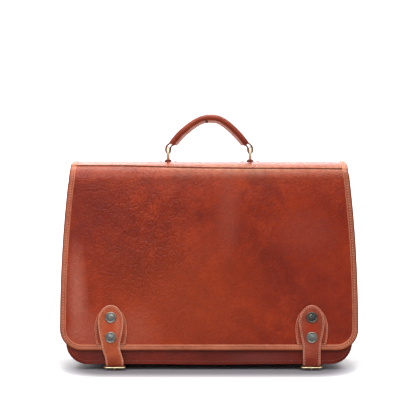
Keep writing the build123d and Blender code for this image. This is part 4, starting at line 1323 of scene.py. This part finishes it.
# ---------------------------------------------------------------- handle loops and rings
# a folded strap that hangs round the right ring, (x, z)
LOOP_PATH = curve([(47.8, 324.2), (52.4, 320.8), (57.4, 317.6), (60.9, 314.2), (61.9, 309.4),
                   (61.0, 305.4), (58.7, 303.9), (56.4, 305.2), (55.5, 308.8), (55.0, 312.6),
                   (52.4, 315.6), (48.6, 318.6)], 5)


def make_loop(side, sign):
    path = LOOP_PATH * (sign, 1)
    normals = left_normals(path)
    section = []                            # rounded rectangle: y, offset from the path
    for y, n in ((3.4, 0.7), (-3.4, 0.7), (-3.4, -0.7), (3.4, -0.7)):
        angle = math.atan2(n, y * 0.2) + np.radians(np.linspace(-45, 45, 4))
        section.append(np.stack([y + 0.55 * np.cos(angle), n + 0.5 * np.sin(angle)], 1))
    y, n = np.vstack(section).T
    rings = xyz(path[:, :1] + normals[:, :1] * n, y, path[:, 1:] + normals[:, 1:] * n)
    loop = make_object("handle_loop_" + side, *loft(rings), HANDLE_LOOP)
    register(loop, ["handle_tab_" + side], ride="handle")


for side, sign in SIDES:
    make_loop(side, sign)

for side, sign in SIDES:
    angle = turn(64)
    circle = xyz(sign * RING_X, RING_R * np.cos(angle), RING_Z + RING_R * np.sin(angle))
    ring = tube("ring_" + side + "_brass", circle, 1.95, up=(1, 0, 0), sides=18,
                material=RING_BRASS, closed=True)
    register(ring, ["ring_" + side], ride="ring_" + side)

# ---------------------------------------------------------------- handle
# centre line, (x, z)
HANDLE_LINE = resample(curve([
    (-54.6, 317.4), (-43.8, 330.2), (-33.1, 339.9), (-22.0, 348.2), (-10.5, 353.9), (1.2, 355.5),
    (12.8, 354.3), (23.0, 349.2), (33.3, 340.8), (43.8, 330.2), (54.6, 317.0)], 10), 1.6)
HANDLE_UP = left_normals(HANDLE_LINE)       # away from the bag
HANDLE_ARC = arc_length(HANDLE_LINE)
# sewn welt under the round grip: y, up, wear and sheen (the welt's paler face is a painted
# sheen)
WELT = np.array([(-2.2, -3.9, 0.2), (-1.7, -4.7, 0.8), (-1.7, -6.0, 1.5), (-1.65, -7.3, 1.6),
                 (-1.2, -8.0, 1.6), (0.0, -8.2, 1.6), (1.2, -8.0, 1.6), (1.65, -7.3, 1.6),
                 (1.7, -6.0, 1.5), (1.7, -4.7, 0.8), (2.2, -3.9, 0.2)])
WELT_TOP = -3.95
WELT_FACE_Y = 1.72


def make_grip():
    angle = np.radians(np.linspace(-58, 238, 30))
    section_y = np.r_[4.6 * np.cos(angle), WELT[:, 0]]
    section_up = np.r_[4.1 * np.sin(angle), WELT[:, 1]]
    arc = HANDLE_ARC[:, None]
    from_end = np.minimum(arc, arc[-1] - arc)
    scale = 0.90 + 0.10 * ease(from_end / 6.0) + 0.02 * np.sin(arc / 13.0)
    scale = scale * (1 + 0.012 * np.sin(arc * 0.9 + section_y))
    # the welt shrinks away towards the ends
    welt_scale = 0.25 + 0.75 * ease((from_end - 0.5) / 4.0)
    up = np.where(section_up < WELT_TOP,
                  WELT_TOP + (section_up - WELT_TOP) * welt_scale, section_up) * scale
    rings = xyz(HANDLE_LINE[:, :1] + HANDLE_UP[:, :1] * up, section_y * scale,
                HANDLE_LINE[:, 1:] + HANDLE_UP[:, 1:] * up)
    across = 600 + np.arange(len(section_y)) * 1.1
    uv = np.stack(np.broadcast_arrays(across, arc), -1).reshape(-1, 2)
    wear_and_sheen = np.tile(np.r_[np.zeros(30), WELT[:, 2]], len(arc))
    grip = make_object("handle_grip", *loft(rings), GRIP, uv=uv, attributes={"wear_and_sheen": wear_and_sheen})
    register(grip, ["handle_wrap", "handle_core"], ride="handle")


def make_handle_stitches():
    middle = (HANDLE_ARC > 10) & (HANDLE_ARC < HANDLE_ARC[-1] - 10)
    x, z = (HANDLE_LINE + HANDLE_UP * -6.2)[middle].T
    rows = [stitches("handle_stitch", xyz(x, sign * WELT_FACE_Y, z), (0, sign, 0), THREAD,
                     pitch=3.2, length=2.2, width=0.34) for sign in (-1, 1)]
    register(merge("handle_stitches", rows), ride="handle")


# painted shade: a black disc, a little proud of both faces of the welt, stands for the awl hole:
# radius, height
AWL_PROFILE = [(0.0, 0.12), (0.7, 0.13), (1.3, 0.16), (1.8, 0.14), (2.05, 0.0), (2.05, -0.3)]
AWL_X = -3.6


def make_awl_hole():
    k = int(np.argmin(np.abs(HANDLE_LINE[:, 0] - AWL_X)))
    centre_x, centre_z = HANDLE_LINE[k] + HANDLE_UP[k] * -5.6
    faces = [lathe(AWL_PROFILE, 20, lambda radius, height, angle: xyz(
        centre_x + radius * np.cos(angle), sign * (WELT_FACE_Y + height),
        centre_z + radius * np.sin(angle))) for sign in (-1, 1)]
    hole = make_object("handle_awl_hole_painted_shade", *combine(faces), AWL_HOLE_SHADE)
    register(hole, ride="handle")


make_grip()
make_handle_stitches()
make_awl_hole()

# ---------------------------------------------------------------- nodes kept as they are
for node, material in (("handle_bar", BOARD), ("base_board", BOARD), ("stud_posts", RIVET),
                       ("chape_rivets", RIVET)):
    NODES[node].data.materials.clear()
    NODES[node].data.materials.append(material)

# ---------------------------------------------------------------- rivets beside the anchors
# low head, shank and inner washer: radius, height above the crest
RIVET_PROFILE = [(0, 0.42), (1.2, 0.36), (2.0, 0.2), (2.4, -0.05), (2.4, -0.4), (1.6, -0.5),
                 (1.6, -0.5), (1.6, -7.0), (3.1, -7.1), (3.1, -7.6), (0, -7.8)]
RIVET_FROM_RING = 10.5


def make_rivet(centre_x):
    def place(radius, height, angle):
        return xyz(centre_x + radius * np.cos(angle), radius * np.sin(angle), CREST_Z + height)
    return make_object("rivet", *lathe(RIVET_PROFILE, 24, place), ANCHOR)


rivets = merge("loop_rivet_heads", [make_rivet(sign * RING_X + shift) for sign in (-1, 1)
                                    for shift in (-RIVET_FROM_RING, RIVET_FROM_RING)])
register(rivets, ["loop_rivets"], ride="flap_top")

# ---------------------------------------------------------------- the flap's pieces take the place of its nodes
FLAP_BLEND = ("flap_top", "flap_front", (0, (-22 + OFFSET_Y) / 1000, 0.2915),
              (0, (-43 + OFFSET_Y) / 1000, 0.268))
for piece, nodes, slot in (
        (flap, ["flap_front", "flap_top"], "flap_leather"),
        (flap_lining, ["flap_lining", "flap_top_lining"], "lining"),
        (binding, ["flap_binding", "top_binding_left", "top_binding_right"], "binding_leather"),
        (binding_stitches, (), None)):
    register(piece, nodes, blend=FLAP_BLEND)

# two rows of stitches through the flap's rear edge
for i, from_rear in enumerate((3.0, 8.0)):
    lap_stitches = stitches("lap_stitches_%d" % i,
                            *flap_at(np.arange(-183, 184, 3.0), REAR_Q - from_rear, 0.05),
                            THREAD, pitch=3.8, length=2.6, width=0.38)
    register(lap_stitches, ride="flap_top")


# ---------------------------------------------------------------- floor (metres from here on)
def floor_material():
    """White floor that glows far away, with a soft shade in front of the bag."""
    material = bpy.data.materials.new("floor_white")
    material.use_nodes = True
    g = Shader(material.node_tree)
    output = g.node("ShaderNodeOutputMaterial")
    rays = g.node("ShaderNodeLightPath").outputs
    from_bag = g.vector_math("LENGTH", g.coords("Object", (1.0, 1.35, 1.0)))
    far = g.remap(from_bag, span=(0.30, 0.70), to=(0.0, 1.0))

    # distance outside the shaded strip: half-width 0.14, front edge at y = -0.045
    place = g.node("ShaderNodeSeparateXYZ")
    g.put(place.inputs[0], g.coords("Object", (1.0, 1.0, 1.0)))
    x, y = place.outputs["X"], place.outputs["Y"]
    beside = g.math("MAXIMUM", g.sub(g.math("ABSOLUTE", x), 0.14), 0.0)
    before = g.math("MAXIMUM", g.sub(g.mul(y, -1.0), 0.045), 0.0)
    outside = g.math("SQRT", g.add(g.math("POWER", g.mul(beside, 1.0), 2.0),
                                   g.math("POWER", before, 2.0)))
    shade = g.ramp(g.remap(outside, span=(0.0, 0.10), to=(0.0, 1.0)),
                   [(0.0, (0.22, 0.21, 0.23)), (0.35, (0.26, 0.25, 0.27)),
                    (0.6, (0.50, 0.49, 0.52)), (0.85, (0.88,) * 3), (1.0, (0.92,) * 3)])
    glow = g.grey_ramp(g.remap(outside, span=(0.0, 0.10), to=(0.0, 1.0)),
                       [(0.0, 0), (0.45, 0.01), (0.64, 0.12), (0.86, 0.60), (1.0, 1)])
    behind = g.remap(y, span=(-0.06, 0.03), to=(0.0, 1.0))
    diffuse = g.node("ShaderNodeBsdfDiffuse")
    g.put(diffuse.inputs[0], g.mix(behind, shade, (0.92, 0.92, 0.92)))
    emission = g.node("ShaderNodeEmission")
    g.put(emission.inputs[0], (1, 1, 1, 1))
    g.put(emission.inputs[1], g.mix(behind, glow, far))
    seen = g.node("ShaderNodeAddShader")
    g.put(seen.inputs[0], diffuse.outputs[0])
    g.put(seen.inputs[1], emission.outputs[0])

    # what the bag receives and reflects is a darker floor
    bounce = g.node("ShaderNodeBsdfDiffuse")
    g.put(bounce.inputs[0], g.mix(rays["Is Glossy Ray"], (0.34, 0.32, 0.32),
                                  (0.16, 0.16, 0.16)))
    switch = g.node("ShaderNodeMixShader")
    g.put(switch.inputs[0], rays["Is Camera Ray"])
    g.put(switch.inputs[1], bounce.outputs[0])
    g.put(switch.inputs[2], seen.outputs[0])
    g.put(output.inputs[0], switch.outputs[0])
    return material


FLOOR_HALF = 30000                          # mm
floor = make_object("floor", [(-FLOOR_HALF, -FLOOR_HALF, 0), (FLOOR_HALF, -FLOOR_HALF, 0),
                              (FLOOR_HALF, FLOOR_HALF, 0), (-FLOOR_HALF, FLOOR_HALF, 0)],
                    [(0, 1, 2, 3)], offset_y=0.0)
floor.data.materials.append(floor_material())


# ---------------------------------------------------------------- world
def make_world():
    """Soft sky that brightens upwards, white behind the bag and to the camera."""
    world = bpy.data.worlds.new("studio")
    bpy.context.scene.world = world
    world.use_nodes = True
    g = Shader(world.node_tree)
    output = g.node("ShaderNodeOutputWorld")
    rays = g.node("ShaderNodeLightPath").outputs
    direction = g.node("ShaderNodeSeparateXYZ")
    g.put(direction.inputs[0], g.node("ShaderNodeTexCoord").outputs["Generated"])
    y, z = direction.outputs["Y"], direction.outputs["Z"]
    sky = g.ramp(g.remap(z, span=(-1, 1), to=(0, 1)),
                 [(0.0, (0.2, 0.2, 0.2)), (0.5, (0.26, 0.26, 0.27)),
                  (0.64, (0.42, 0.42, 0.43)), (0.82, (0.9, 0.9, 0.92)), (1.0, (1.5, 1.5, 1.5))])
    behind = g.remap(y, span=(-0.15, 0.6), to=(0.0, 1.0))
    # reflections see a dimmer sky, except overhead
    dim = g.sub(1.0, g.mul(rays["Is Glossy Ray"], 0.6))
    overhead = g.remap(z, span=(0.3, 0.8), to=(0.0, 1.0))
    sky = g.vector_math("SCALE", sky, g.math("MAXIMUM", dim, overhead))
    light = g.node("ShaderNodeBackground")
    g.put(light.inputs[0], g.mix(behind, sky, (1.0, 1.0, 1.03)))
    g.put(light.inputs[1], 0.8)
    white = g.node("ShaderNodeBackground")
    g.put(white.inputs[0], (1, 1, 1, 1))
    g.put(white.inputs[1], 1.1)
    switch = g.node("ShaderNodeMixShader")
    g.put(switch.inputs[0], rays["Is Camera Ray"])
    g.put(switch.inputs[1], light.outputs[0])
    g.put(switch.inputs[2], white.outputs[0])
    g.put(output.inputs[0], switch.outputs[0])


make_world()


# ---------------------------------------------------------------- lights
def area_light(name, location, target, size, power, colour=(1, 1, 1), glossy=True):
    light = bpy.data.lights.new(name, "AREA")
    light.shape = "RECTANGLE"
    light.size, light.size_y = size
    light.energy = power
    light.color = colour
    obj = bpy.data.objects.new(name, light)
    bpy.context.scene.collection.objects.link(obj)
    obj.location = location
    aim = Vector(target) - Vector(location)
    obj.rotation_euler = aim.to_track_quat("-Z", "Y").to_euler()
    obj.visible_camera = False
    obj.visible_glossy = glossy


area_light("top_box", location=(0.0, 0.0, 1.45), target=(0, 0, 0.2), size=(1.6, 0.8),
           power=12.5, colour=(1.0, 0.99, 0.98))
area_light("left_box", location=(-1.6, -1.1, 1.05), target=(0, 0, 0.12), size=(0.8, 1.3),
           power=6.0, colour=(1.0, 0.98, 0.97), glossy=False)
area_light("window", location=(-0.52, -2.3, 0.40), target=(-0.1, 0, 0.15), size=(0.3, 1.1),
           power=3.0, colour=(0.95, 0.97, 1.0))
area_light("front_box", location=(0.05, -1.65, 1.6), target=(0, 0, 0.2), size=(2.2, 0.8),
           power=13.0)
area_light("right_box", location=(1.7, -0.9, 0.8), target=(0, 0, 0.15), size=(0.7, 1.1),
           power=3.0)
area_light("back_box", location=(0.1, 1.5, 1.0), target=(0, 0, 0.15), size=(1.8, 1.0),
           power=12.0)

# ---------------------------------------------------------------- camera
CAMERA_DISTANCE = 2.3
CAMERA_ELEVATION = math.radians(4.0)
CAMERA_TARGET = Vector((0.00124, -0.055, 0.2268))

scene = bpy.context.scene
scene.view_settings.view_transform = "Standard"
scene.view_settings.look = "None"
scene.view_settings.exposure = 0.0
lens = bpy.data.cameras.new("camera")
lens.sensor_width = 36.0
lens.lens = 140.8585714
lens.clip_start, lens.clip_end = 0.05, 100
camera = bpy.data.objects.new("camera", lens)
scene.collection.objects.link(camera)
scene.camera = camera
outward = Vector((0.0, -math.cos(CAMERA_ELEVATION), math.sin(CAMERA_ELEVATION)))
camera.location = CAMERA_TARGET + outward * CAMERA_DISTANCE
camera.rotation_euler = (-outward).to_track_quat("-Z", "Y").to_euler()
